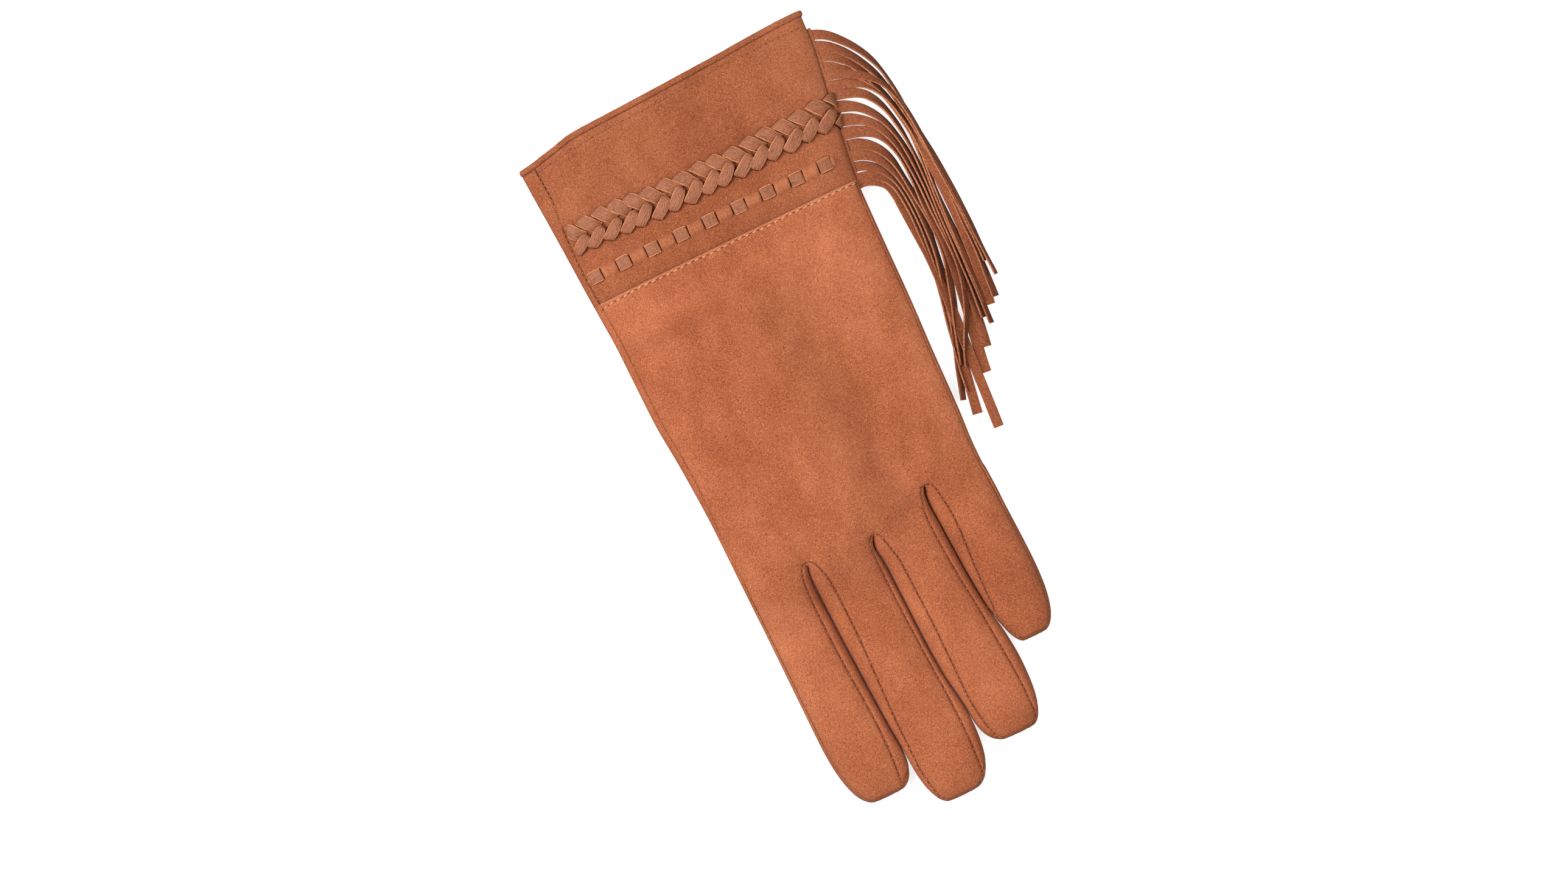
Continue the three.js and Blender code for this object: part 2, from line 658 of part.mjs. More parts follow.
function fringeStrip(number) {
  const { curve, bend } = stripCurve(number);
  const box = new THREE.BoxGeometry(1, STRIP_WIDTH, STRIP_THICKNESS, STRIP_SEGMENTS, 1, 1);
  return shaped(box, (point) => {
    const share = point.x + 0.5;
    const middle = curve.getPointAt(share);
    const tangent = curve.getTangentAt(share);
    const hanging = THREE.MathUtils.lerp(STRIP_ROLL, TIP_ROLL, ease(0.5, 1, share));
    const roll = hanging * ease(0, 0.8 * bend, share);
    const outward = new THREE.Vector3(-tangent.y, tangent.x, 0);
    const resting = (STRIP_WIDTH / 2) * Math.sin(roll) + (STRIP_THICKNESS / 2) * Math.cos(roll);
    const height = THREE.MathUtils.lerp(HEADER_Z, resting, ease(0, 0.2, share));
    const sideways = point.y * Math.cos(roll) - point.z * Math.sin(roll);
    const upwards = point.y * Math.sin(roll) + point.z * Math.cos(roll);
    middle.addScaledVector(outward, sideways);
    point.set(middle.x, middle.y, Math.max(height + upwards, 0));
  });
}

function fringeHeader() {
  const lengthY = STRIP_PITCH * (STRIP_LENGTHS.length - 1) + STRIP_WIDTH;
  const box = new THREE.BoxGeometry(1, lengthY, HEADER_THICKNESS, 1, 6, 1);
  return shaped(box, (point) => {
    point.y += FIRST_STRIP_Y - (STRIP_PITCH * (STRIP_LENGTHS.length - 1)) / 2;
    const edge = rightEdgeAt(point.y);
    point.x = edge + (point.x > 0 ? HEADER_OUTSIDE : -HEADER_INSIDE);
    point.z += HEADER_Z;
  });
}

function fringe() {
  const strips = STRIP_LENGTHS.map((_, number) => fringeStrip(number));
  return wasm.Manifold.union([fringeHeader(), ...strips]);
}

const glove = new THREE.Group();
glove.name = "fringed_suede_glove";
glove.add(meshOf("hand_back_panel", handBack(), SUEDE));
glove.add(meshOf("palm_panel", palm(), SUEDE));
FOURCHETTES.forEach(({ name, rows }) => glove.add(meshOf(name, fourchette(rows), SUEDE)));
glove.add(meshOf("thumb", thumb(), SUEDE));
glove.add(meshOf("cuff_back", cuffBack(), SUEDE));
glove.add(meshOf("cuff_palm", cuffPalm(), SUEDE));
glove.add(meshOf("hem_binding", hemBinding(), SUEDE));
glove.add(meshOf("braid", braid(), GRAIN_LEATHER));
glove.add(meshOf("running_lace", lace(0), GRAIN_LEATHER));
glove.add(meshOf("fringe", fringe(), SUEDE));

export default glove;
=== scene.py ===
# %% [markdown]
# A lady's suede glove, left hand, lying on its palm. Its cuff carries a flat plait, a running lace and
# a long side fringe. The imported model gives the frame: +Y runs to the hem, +X to the fringe, +Z up,
# and the origin is under the middle of the wrist seam. Every panel here follows the same tables as the
# solids, in millimetres, with far more faces, and is scaled to metres as its last step.

# %% The frame
import math

import bmesh
import bpy
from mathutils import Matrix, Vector, noise


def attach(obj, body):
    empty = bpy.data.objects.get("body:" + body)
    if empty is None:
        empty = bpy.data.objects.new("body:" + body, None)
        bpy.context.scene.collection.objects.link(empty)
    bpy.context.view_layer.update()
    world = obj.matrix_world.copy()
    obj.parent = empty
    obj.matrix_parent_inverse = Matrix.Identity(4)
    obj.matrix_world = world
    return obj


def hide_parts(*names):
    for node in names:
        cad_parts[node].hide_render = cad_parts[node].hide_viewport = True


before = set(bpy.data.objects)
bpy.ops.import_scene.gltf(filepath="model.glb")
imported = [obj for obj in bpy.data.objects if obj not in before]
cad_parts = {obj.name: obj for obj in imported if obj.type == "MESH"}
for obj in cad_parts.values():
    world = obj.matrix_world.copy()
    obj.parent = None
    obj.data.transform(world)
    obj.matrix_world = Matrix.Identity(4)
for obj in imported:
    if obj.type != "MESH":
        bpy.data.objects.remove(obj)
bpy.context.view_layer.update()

MM = 0.001
scene = bpy.context.scene
print("nodes in the frame:", len(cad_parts))

# %% [markdown]
# The photograph is a straight look down on the table, so the camera hangs above the glove and its
# picture is turned until the fingers point down to the right. A long lens keeps the sides of the
# fringe from showing more than they do in the photograph. The distance follows from how many
# millimetres one pixel of the photograph spans.

# %% Camera
PHOTO_WIDTH = 2576
MM_PER_PIXEL = 0.1974
LENS = 85
SENSOR = 36
AIM = (-12.0, -65.2)  # the picture's middle, in the frame's millimetres
TURN = math.radians(-26)
FOCUS_HEIGHT = 12  # the level at which the scale holds: the top of the glove

camera_data = bpy.data.cameras.new("photo_camera")
camera_data.lens = LENS
camera_data.sensor_width = SENSOR
camera_data.clip_start = 0.05
camera = bpy.data.objects.new("photo_camera", camera_data)
distance = PHOTO_WIDTH * MM_PER_PIXEL * LENS / SENSOR
camera.location = (AIM[0] * MM, AIM[1] * MM, (distance + FOCUS_HEIGHT) * MM)
camera.rotation_euler = (0, 0, TURN)
scene.collection.objects.link(camera)
scene.camera = camera
print("camera height in metres:", round(camera.location.z, 3))

# %% [markdown]
# The light is that of a product table: a wide soft panel over the cuff's side, a weaker one opposite,
# and a pale room above. Suede shows its nap only where light comes in low from one side, so the main
# panel stands off to one side instead of straight overhead. The table glows faintly, like one lit from
# below, which keeps the shadows as pale as the photograph's. It throws no light up on the glove.

# %% Floor and lights
FLOOR_HALF_SIZE = 3  # metres
LIGHT_AIM = Vector((0, -0.06, 0))  # the glove's middle, in metres
PANEL_SIZE = (0.9, 0.9)


def paint_floor():
    material = bpy.data.materials.new("pale_floor")
    material.use_nodes = True
    shader = material.node_tree.nodes["Principled BSDF"]
    shader.inputs["Base Color"].default_value = (0.6, 0.6, 0.6, 1)
    shader.inputs["Roughness"].default_value = 0.9
    shader.inputs["Specular IOR Level"].default_value = 0.0
    shader.inputs["Emission Color"].default_value = (1, 1, 1, 1)
    shader.inputs["Emission Strength"].default_value = 0.76
    return material


def lay_floor(half_size):
    mesh = bmesh.new()
    bmesh.ops.create_grid(mesh, x_segments=1, y_segments=1, size=half_size)
    data = bpy.data.meshes.new("floor")
    mesh.to_mesh(data)
    mesh.free()
    data.materials.append(paint_floor())
    floor = bpy.data.objects.new("floor", data)
    floor.location.z = -0.05 * MM
    floor.visible_diffuse = False
    scene.collection.objects.link(floor)


def hang_light(name, place, size, power):
    data = bpy.data.lights.new(name, "AREA")
    data.shape = "RECTANGLE"
    data.size, data.size_y = size
    data.energy = power
    light = bpy.data.objects.new(name, data)
    light.location = place
    aim = LIGHT_AIM - Vector(place)
    light.rotation_euler = aim.to_track_quat("-Z", "Y").to_euler()
    scene.collection.objects.link(light)


def light_room(color, above, below):
    """A room with one brightness over the table's level and another under it."""
    world = bpy.data.worlds.new("pale_room")
    world.use_nodes = True
    tree = world.node_tree
    place = tree.nodes.new("ShaderNodeTexCoord")
    split = tree.nodes.new("ShaderNodeSeparateXYZ")
    spread = tree.nodes.new("ShaderNodeMapRange")
    tree.links.new(place.outputs["Generated"], split.inputs["Vector"])
    tree.links.new(split.outputs["Z"], spread.inputs["Value"])
    spread.inputs["From Min"].default_value = -0.05
    spread.inputs["From Max"].default_value = 0.15
    spread.inputs["To Min"].default_value = below
    spread.inputs["To Max"].default_value = above
    background = tree.nodes["Background"]
    tree.links.new(spread.outputs["Result"], background.inputs["Strength"])
    background.inputs["Color"].default_value = (*color, 1)
    scene.world = world


lay_floor(FLOOR_HALF_SIZE)
hang_light("main_panel", place=(-0.72, 0.36, 1.2), size=PANEL_SIZE, power=27.5)
hang_light("fill_panel", place=(0.8, -0.5, 0.8), size=PANEL_SIZE, power=4.2)
light_room(color=(1, 1, 1), above=0.42, below=0.1)
scene.view_settings.view_transform = "Standard"
print("lights over the table:", len(bpy.data.lights))

# %% [markdown]
# Every finish is mixed from patterns by arithmetic. This class wraps one output of a material's node
# tree, so that a sum or product of patterns in Python becomes Math nodes, and any other node comes
# from its make method. Made and linked one by one, the nodes of each finish would fill a page.

# %% Shader arithmetic
class Socket:
    def __init__(self, tree, link):
        self.tree = tree
        self.link = link

    def make(self, kind, settings=None, sockets=None, out=0):
        node = self.tree.nodes.new(kind)
        for name, value in (settings or {}).items():
            if name == "stops":
                self.set_stops(node.color_ramp, value)
            else:
                setattr(node, name, value)
        for name, value in (sockets or {}).items():
            if isinstance(value, Socket):
                self.tree.links.new(value.link, node.inputs[name])
            else:
                node.inputs[name].default_value = value
        return Socket(self.tree, node.outputs[out])

    @staticmethod
    def set_stops(ramp, stops):
        while len(ramp.elements) < len(stops):
            ramp.elements.new(1)
        for element, (place, color) in zip(ramp.elements, stops):
            element.position = place
            element.color = (*color, 1)

    def math(self, operation, first, second):
        return self.make("ShaderNodeMath", {"operation": operation}, {0: first, 1: second})

    def __add__(self, other):
        return self.math("ADD", self, other)

    def __sub__(self, other):
        return self.math("SUBTRACT", self, other)

    def __mul__(self, other):
        return self.math("MULTIPLY", self, other)

    def __rsub__(self, other):
        return self.math("SUBTRACT", other, self)

    __radd__ = __add__
    __rmul__ = __mul__

    def mix(self, first, second):
        """The first color where this value is 0 and the second where it is 1."""
        settings = {"data_type": "RGBA", "blend_type": "MIX"}
        return self.make("ShaderNodeMix", settings, {0: self, 6: first, 7: second}, out=2)

    def noise(self, scale, detail=2, roughness=0.5):
        """A cloudy pattern on this vector, with features about 1 / scale across."""
        sockets = {"Vector": self, "Scale": scale, "Detail": detail, "Roughness": roughness}
        return self.make("ShaderNodeTexNoise", {}, sockets)

    def bump(self, strength, distance):
        """A normal that reads this value as a height."""
        sockets = {"Strength": strength, "Distance": distance, "Height": self}
        return self.make("ShaderNodeBump", {}, sockets)

    def ramp(self, stops):
        """A color looked up along a row of stops."""
        return self.make("ShaderNodeValToRGB", {"stops": stops}, {"Fac": self})

    def stretched(self, scale, turn=0.0):
        """This vector with its axes scaled, after a turn about Z."""
        sockets = {"Vector": self, "Scale": scale, "Rotation": (0, 0, turn)}
        return self.make("ShaderNodeMapping", {}, sockets)

    def between(self, low, high, to_low=0.0, to_high=1.0):
        """This value's range from low to high spread over another range, and clamped to it."""
        names = ("Value", "From Min", "From Max", "To Min", "To Max")
        return self.make("ShaderNodeMapRange", {}, dict(zip(names, (self, low, high, to_low, to_high))))


def start_finish(name):
    """A new material, its shader node and a socket from which its patterns start."""
    material = bpy.data.materials.new(name)
    material.use_nodes = True
    tree = material.node_tree
    return material, tree.nodes["Principled BSDF"], Socket(tree, None)


def plug(shader, **sockets):
    """Links or sets the shader's sockets, with spaces written as underscores."""
    for name, value in sockets.items():
        target = shader.inputs[name.replace("_", " ")]
        if isinstance(value, Socket):
            value.tree.links.new(value.link, target)
        else:
            target.default_value = value


# %% [markdown]
# Suede is the fuzzy flesh side of the skin. Its nap is a felt of short fibres that lie in tufts, so it
# looks speckled close up and even from afar, with no gloss at all. The fibres of one spot lie mostly
# along one direction and those of the next along another. Where a hand has brushed it a soft patch
# turns lighter or darker. So the tone is mostly fibres, with a little of tufts, smudges and wide
# brushed patches. Fibres and tufts also go to the bump. Two finishes also carry painted light and
# shade: a strip tipped on its edge gets painted shade, as its face turns away from the light, and the
# suede raised over the hidden lace gets a painted highlight. They read an attribute that says how
# much painted shade each point of the piece takes, and below 0 how much painted light. The cut edge
# of a strip is a paler mix of the same patterns, and so is a painted highlight along the wrist's
# fold. A picture of suede could be wrapped round the glove instead, but it would stretch where a
# panel turns.

# %% Suede
def mix_suede(name, dark, middle, light, shade=0.0):
    material, shader, start = start_finish(name)
    place = start.make("ShaderNodeTexCoord", out=3)
    one_way = place.stretched((1, 0.72, 1), turn=0.6).noise(scale=5000, detail=2, roughness=0.62)
    other_way = place.stretched((0.72, 1, 1), turn=-0.3).noise(scale=5000, detail=2, roughness=0.62)
    lie = place.noise(scale=420, detail=1).between(0.45, 0.55)
    fibres = one_way * (1 - lie) + other_way * lie
    tufts = place.noise(scale=1500, detail=2, roughness=0.55)
    smudges = place.stretched((1, 0.6, 1), turn=0.5).noise(scale=120, detail=2, roughness=0.5)
    patches = place.stretched((1, 0.55, 1), turn=-0.7).noise(scale=26, detail=2, roughness=0.45)
    tone = fibres.between(0.3, 0.7) * 0.54 + tufts.between(0.3, 0.7) * 0.16
    tone = tone + smudges.between(0.25, 0.75) * 0.12 + patches.between(0.25, 0.75) * 0.18
    # Painted light and shade: the attribute paints shade where it is above 0 and light where below.
    if shade:
        darker = start.make("ShaderNodeAttribute", {"attribute_name": "darker"}, out=2)
        tone = tone - darker * shade
    color = tone.ramp([(0.25, dark), (0.5, middle), (0.75, light)])
    normal = (fibres * 0.5 + tufts * 0.6).bump(strength=0.5, distance=0.00022)
    plug(shader, Base_Color=color, Roughness=0.95, Specular_IOR_Level=0.1, Normal=normal)
    plug(shader, Sheen_Weight=0.12, Sheen_Roughness=0.5, Sheen_Tint=(1.0, 0.62, 0.45, 1))
    return material


SUEDE = mix_suede("suede", (0.18, 0.044, 0.017), (0.36, 0.101, 0.041), (0.54, 0.195, 0.094))
# The cuff's suede takes a painted highlight where it is raised over the hidden lace.
CUFF_SUEDE = mix_suede(
    "cuff_suede", (0.14, 0.034, 0.013), (0.275, 0.077, 0.030), (0.44, 0.154, 0.074), shade=0.15
)
# The fringe's suede takes painted shade where a strip is tipped on edge, its face turned from the light.
FRINGE_SUEDE = mix_suede(
    "fringe_suede", (0.115, 0.030, 0.012), (0.25, 0.070, 0.029), (0.40, 0.138, 0.066), shade=0.3
)
RAW_EDGE = mix_suede("raw_suede_edge", (0.14, 0.040, 0.016), (0.33, 0.112, 0.050), (0.58, 0.25, 0.13))
# A painted highlight: paler suede along the wrist's folded edge, where that edge catches the light.
WRIST_FOLD_PAINTED_HIGHLIGHT = mix_suede("wrist_fold_painted_highlight", (0.27, 0.080, 0.034), (0.46, 0.150, 0.069), (0.64, 0.275, 0.152))
print("nodes in the suede:", len(SUEDE.node_tree.nodes))

# %% [markdown]
# The plait and the lace are cut from smooth leather. Its grain is small domed pebbles about half a
# millimetre across that run together in wrinkles, with a soft gloss on top of each. The strips carry a
# UV map in millimetres, along and across, so that the grain follows every turn of a strand. A cut
# edge shows the pale core of the skin, so the rims of the strips get a finish of their own. Another,
# nearly black, is painted shade for the place where a strand folds under the next.

# %% Grain leather
def mix_leather(name):
    material, shader, start = start_finish(name)
    place = start.make("ShaderNodeTexCoord", out=2)
    wrinkled = place.stretched((0.55, 1.0, 1), turn=0.25)
    wander = wrinkled.noise(scale=0.9, detail=2)
    add_shift = {"operation": "MULTIPLY_ADD"}
    shifted = start.make("ShaderNodeVectorMath", add_shift, {0: wander, 1: (0.9, 0.9, 0), 2: wrinkled})
    cells = {"Vector": shifted, "Scale": 3.1, "Smoothness": 0.5}
    pebbles = start.make("ShaderNodeTexVoronoi", {"feature": "SMOOTH_F1"}, cells)
    fine = place.noise(scale=7, detail=3, roughness=0.6)
    broad = place.noise(scale=0.3, detail=2)
    tone = 0.76 - pebbles * 0.62 + fine * 0.3 + broad.between(0.3, 0.7) * 0.2
    wrinkle, skin, crest = (0.105, 0.029, 0.011), (0.24, 0.073, 0.028), (0.375, 0.127, 0.053)
    color = tone.ramp([(0.2, wrinkle), (0.55, skin), (0.95, crest)])
    normal = (1 - pebbles + fine * 0.3).bump(strength=0.85, distance=0.00026)
    plug(shader, Base_Color=color, Roughness=fine.between(0.2, 0.8, 0.42, 0.6), Normal=normal)
    plug(shader, Specular_IOR_Level=0.38)
    return material


def mix_core(name, dark, light):
    material, shader, start = start_finish(name)
    place = start.make("ShaderNodeTexCoord", out=3)
    fibres = place.noise(scale=3000, detail=3, roughness=0.6)
    color = fibres.between(0.35, 0.65).mix((*dark, 1), (*light, 1))
    plug(shader, Base_Color=color, Roughness=0.9, Specular_IOR_Level=0.2)
    return material


LEATHER = mix_leather("grain_leather")
# Painted shade: a nearly black finish for the shadow where a strap folds under.
STRAP_FOLD_PAINTED_SHADE = mix_core("strap_fold_painted_shade", (0.012, 0.005, 0.003), (0.04, 0.015, 0.008))
CUT_EDGE = mix_core("pale_leather_core", (0.38, 0.13, 0.054), (0.70, 0.31, 0.155))
print("nodes in the grain leather:", len(LEATHER.node_tree.nodes))

# %% [markdown]
# Three threads hold the glove together. The wrist shows a pale waxed one, laid in slanting stitches,
# and the hem a thinner tan one. The long seams of the hand are closed from inside with thin dark
# thread that only shows as small dots in the groove. The same dark finish is also painted shade in
# the needle holes between the wrist's and the hem's stitches.

# %% Threads
def mix_thread(name, dark, light, roughness):
    material, shader, start = start_finish(name)
    place = start.make("ShaderNodeTexCoord", out=3)
    strands = place.noise(scale=5200, detail=2, roughness=0.5)
    color = strands.between(0.35, 0.65).mix((*dark, 1), (*light, 1))
    normal = strands.bump(strength=0.4, distance=0.0001)
    plug(shader, Base_Color=color, Roughness=roughness, Specular_IOR_Level=0.25, Normal=normal)
    return material


PALE_THREAD = mix_thread("pale_thread", (0.50, 0.25, 0.11), (0.86, 0.60, 0.34), 0.5)
TAN_THREAD = mix_thread("tan_thread", (0.10, 0.034, 0.013), (0.42, 0.19, 0.085), 0.7)
# This dark finish is also painted shade in the needle holes of the wrist's and the hem's stitches.
DARK_THREAD_AND_HOLE_SHADE = mix_thread("dark_thread_and_hole_shade", (0.035, 0.010, 0.005), (0.11, 0.034, 0.016), 0.95)
print("finishes:", len(bpy.data.materials))

# %% [markdown]
# The glove was drawn once for the solids, as short tables of what the photograph shows at each level.
# The same tables shape these panels. A row is read by its named column, and a smooth curve runs
# through the rows so that no kink shows in an edge.

# %% Tables of the hand and cuff
WRIST_Y = 1.1
LEATHER_WALL = 1.1
BELLY = 0.42  # height of a section's widest level, as a share of its top
UNDERSIDE = 1.3  # how much wider than an oval the flattened underside is
HAND_POWER = 2.8  # superellipse powers of the sections
FINGER_POWER = 2.5
TIP_POWER = 2.5
TIP_LENGTH = 26
TIP_CLOSE = 0.97
FINGER_TOP = 12
INDEX_SIDE_X = -45
EDGE_SEAM_INSET = 1
# The folded thumb's lift, and where it fades: towards the little finger, the wrist and the fingers
THUMB_LIFT = 7.1
THUMB_SIDE = (-10, 24)
THUMB_ROOT = (-8, -25)
THUMB_END = (-98, -126)


def make_table(columns, *rows):
    """Rows of numbers, to be read by the names of their columns."""
    return [dict(zip(columns.split(), row)) for row in rows]


HAND_ROWS = make_table(
    "y left right top",
    (60, -51.2, 54.3, 10.5),
    (58, -51.2, 54.2, 10.6),
    (46, -50.8, 53.2, 11),
    (35, -50.2, 51.4, 11.2),
    (20, -49.5, 49.2, 11.4),
    (8, -49, 47.5, 11.5),
    (0, -48.6, 46.7, 11.5),
    (-20, -47.6, 46, 12),
    (-40, -47.4, 45.5, 12.3),
    (-60, -46, 44.6, 12.3),
    (-80, -45.1, 43.9, 12.2),
    (-95, -45, 43.1, 11.8),
    (-107, -45, 43.2, 10.6),
)
HEM_ROWS = make_table(
    "x y",
    (-51.2, 51.6), (-40, 53.2), (-30, 55.2), (-10, 55.9), (20, 57.2), (54.2, 58.9),
)
SIDE_SEAM_ROWS = make_table(
    "y inset",
    (60, 5), (40, 5), (28, 3.3), (10, 2.3), (-60, 2.1), (-86, 1), (-200, 1),
)


def lerp(first, second, share):
    return first + (second - first) * share


def signed_power(value, power):
    return math.copysign(abs(value) ** power, value)


def ease(start, end, at):
    """Goes smoothly from 0 at the start to 1 at the end, whichever is larger."""
    share = min(max((at - start) / (end - start), 0.0), 1.0)
    return share**3 * (share * (share * 6 - 15) + 10)


def read(rows, by, column, at):
    """One column of a table at a place between its rows, on a smooth curve through them."""
    ordered = rows if rows[0][by] < rows[-1][by] else rows[::-1]
    places = [row[by] for row in ordered]
    values = [row[column] for row in ordered]
    if at <= places[0]:
        return values[0]
    if at >= places[-1]:
        return values[-1]
    i = next(i for i in range(1, len(places)) if at <= places[i])
    slopes = [(values[k] - values[k - 1]) / (places[k] - places[k - 1]) for k in range(1, len(places))]

    def tangent(k):
        if k == 0 or k == len(places) - 1 or slopes[k - 1] * slopes[k] <= 0:
            return 0.0
        return 2 * slopes[k - 1] * slopes[k] / (slopes[k - 1] + slopes[k])

    width = places[i] - places[i - 1]
    t = (at - places[i - 1]) / width
    start = values[i - 1] * (1 + 2 * t) * (1 - t) ** 2 + width * tangent(i - 1) * t * (1 - t) ** 2
    return start + values[i] * t * t * (3 - 2 * t) + width * tangent(i) * t * t * (t - 1)


def hand_row(y):
    """The hand's or cuff's left edge, right edge and top at a level."""
    return tuple(read(HAND_ROWS, "y", column, y) for column in ("left", "right", "top"))


def lift(x, y):
    """How far the thumb folded under the palm holds the glove up."""
    across = 1 - ease(*THUMB_SIDE, x)
    return THUMB_LIFT * across * ease(*THUMB_ROOT, y) * (1 - ease(*THUMB_END, y))


def hem_y(x):
    return read(HEM_ROWS, "x", "y", x)


def side_seam_x(y):
    """The seam on the index finger's side, where the palm's leather wraps round to the back."""
    left = read(HAND_ROWS, "y", "left", y) if y > -95 else INDEX_SIDE_X
    return left + read(SIDE_SEAM_ROWS, "y", "inset", y)


def right_edge_x(y):
    return read(HAND_ROWS, "y", "right", y)


print("palm's width in mm:", round(right_edge_x(-60) - read(HAND_ROWS, "y", "left", -60), 1))

# %% [markdown]
# A glove laid flat has sections like a squashed oval: nearly level on top, quick to turn down at the
# edges and flat where it rests. A superellipse gives that with one number. Each finger is such a
# section between its creases, and its end closes by the same curve seen from above.

# %% Tables of the fingers
CREASES = [
    make_table(
        "y x",
        (-92, -22.9), (-105, -22.9), (-107, -23.4), (-110, -23.8), (-125, -23.5), (-145, -22.8),
        (-163, -22), (-176, -21.2),
    ),
    make_table(
        "y x",
        (-92, 0.7), (-105, 0.7), (-107, -0.4), (-110, -0.9), (-113, -0.4), (-118, 0.1),
        (-145, 0.7), (-155, 1.3), (-173, 3.3),
    ),
    make_table(
        "y x",
        (-92, 22.5), (-98.4, 22.4), (-101, 21.6), (-103, 21.4), (-113, 21.9), (-130, 22.7),
        (-144, 24), (-152, 25.5), (-163, 26.4),
    ),
]
INDEX_EDGE = [dict(y=-92, x=INDEX_SIDE_X), dict(y=-200, x=INDEX_SIDE_X)]
LITTLE_EDGE = make_table(
    "y x",
    (-92, 43.1), (-115, 43.8), (-135, 44.3), (-200, 44.3),
)
FINGERS = [
    dict(name="index", tip=-184.4, tip_left=-35, tip_right=-29, round_left=-156, round_right=-171),
    dict(name="middle", tip=-194.7, tip_left=-13, tip_right=-7, round_left=-172, round_right=-172),
    dict(name="ring", tip=-184.4, tip_left=13, tip_right=19, round_left=-170, round_right=-163),
    dict(name="little", tip=-158.2, tip_left=31, tip_right=36, round_left=-145, round_right=-134),
]
# Seams on the back of the glove beside each fourchette, the strip that makes two fingers' sides
FOURCHETTES = [
    make_table(
        "y left right",
        (-103.7, -22.85, -22.75), (-103.9, -23.7, -21.9), (-104.5, -24.5, -21),
        (-105.5, -25.15, -20.3), (-107.5, -25.8, -19.5), (-110, -26.2, -18.8),
        (-113, -26.45, -18.35), (-118, -26.6, -18.1), (-130, -26.5, -18), (-165, -25.1, -19.1),
        (-180, -26, -19), (-190, -28, -17.5), (-200, -29, -15),
    ),
    make_table(
        "y left right",
        (-105, 0.65, 0.75), (-105.2, 0.2, 1.3), (-105.9, -0.3, 2), (-107, -0.9, 2.7),
        (-109, -1.5, 3.35), (-112, -1.8, 4), (-114.5, -1.9, 4.6), (-118, -1.9, 5),
        (-145, -1.2, 5.6), (-165, -0.3, 5.4), (-176, -0.2, 6.5), (-190, -1, 11), (-200, -4, 12),
    ),
    make_table(
        "y left right",
        (-98, 22.55, 22.65), (-98.2, 21.9, 23.5), (-99, 21.1, 24.7), (-100, 20.6, 25.4),
        (-102, 20.1, 25.9), (-104.5, 19.35, 26.2), (-108, 18.9, 26.7), (-113, 18.9, 26.9),
        (-130, 19.9, 25.9), (-144, 21.3, 25.5), (-150, 21.7, 25.4), (-158, 22.3, 27),
        (-172, 23, 29), (-200, 22, 29),
    ),
]
APEX = [(-22.8, -103.7), (0.7, -105), (22.6, -98)]  # where each pair of seams meets
WEB_DIP = [1.7, 0.8, 0.8]  # from there to where the crease between the two fingers starts
ROOT_FLAT = 0.8  # how much narrower than its finger the rounding of a root is
ROOT_LEVELS = (-98, -114)  # between these levels it takes the finger's own width


def finger_side(number, side, y, inset=0.0):
    """Where one side of a finger lies at a level, rounded in towards the tip."""
    finger = FINGERS[number]
    is_left = side == "left"
    crease = number - 1 if is_left else number
    is_outer = crease < 0 or crease > 2
    rows = (INDEX_EDGE if is_left else LITTLE_EDGE) if is_outer else CREASES[crease]
    inward = 1 if is_left else -1
    base = read(rows, "y", "x", y) + inward * inset
    start, tip = finger["round_" + side], finger["tip_" + side]
    along = min(max((y - start) / (finger["tip"] + inset - start), 0.0), 1.0)
    return lerp(base, tip, 1 - (1 - along**TIP_POWER) ** (1 / TIP_POWER))


def finger_sides(number, y):
    return finger_side(number, "left", y), finger_side(number, "right", y)


def oval(u, power):
    """Height of a superellipse's upper half at u, which runs from -1 to 1 across it."""
    return max(0.0, 1 - min(abs(u), 1.0) ** power) ** (1 / power)


def tip_round(number, y):
    """How much of its height a finger keeps at a level."""
    start = FINGERS[number]["tip"] + TIP_LENGTH
    along = min(max((y - start) / -TIP_LENGTH, 0.0), 1.0)
    return (1 - (along * TIP_CLOSE) ** TIP_POWER) ** (1 / TIP_POWER)


def hand_height(x, y):
    left, right, top = hand_row(y)
    u = (2 * x - left - right) / (right - left)
    return top * lerp(BELLY, 1, oval(u, HAND_POWER))


def finger_height(number, x, y):
    left, right = finger_sides(number, y)
    u = (2 * x - left - right) / (right - left)
    u *= lerp(ROOT_FLAT, 1, ease(*ROOT_LEVELS, y))
    return FINGER_TOP * (BELLY + (1 - BELLY) * oval(u, FINGER_POWER) * tip_round(number, y))


print("fingertips:", {finger["name"]: finger["tip"] for finger in FINGERS})

# %% [markdown]
# Nothing sewn from skin is perfectly even. Slow waves a fraction of a millimetre high make the light
# wander over the back of the hand, a few folds stand where the photograph shows them, and the leather
# gathers a little around the end of each slit between two fingers. They could be sculpted by hand. As
# functions of x and y they stay where they are when a panel gets more faces, and stitches can follow.

# %% Folds and waves of the back
# Each fold runs from one place to another, is so wide and so high, and may be a hollow (negative)
FOLDS = [
    dict(start=(2, -103.5), end=(20.5, -96.5), width=2.6, height=0.55),
    dict(start=(24, -96), end=(31, -89), width=2.2, height=0.4),
    dict(start=(-24, -102), end=(-33, -97), width=2.4, height=0.3),
    dict(start=(-21.5, -102), end=(-12, -98), width=2.6, height=-0.3),
    dict(start=(19, -95), end=(10, -86), width=3.2, height=-0.3),
    dict(start=(-18, -22), end=(-4, -30), width=4.5, height=0.35),
    dict(start=(-31, -66), end=(-10, -73), width=5, height=0.3),
    dict(start=(14, -58), end=(34, -66), width=5, height=-0.25),
    dict(start=(-43, -120), end=(-30, -126), width=3, height=-0.25),
    dict(start=(-16, -142), end=(-5, -139), width=3, height=0.2),
    dict(start=(8, -150), end=(20, -147), width=3, height=-0.2),
]
FOLD_START, FOLD_END = 3, 4  # each fold fades in and out over so much to both sides of its ends
WAVE_DETAIL = 2.7  # how much finer the second slice of the waves is
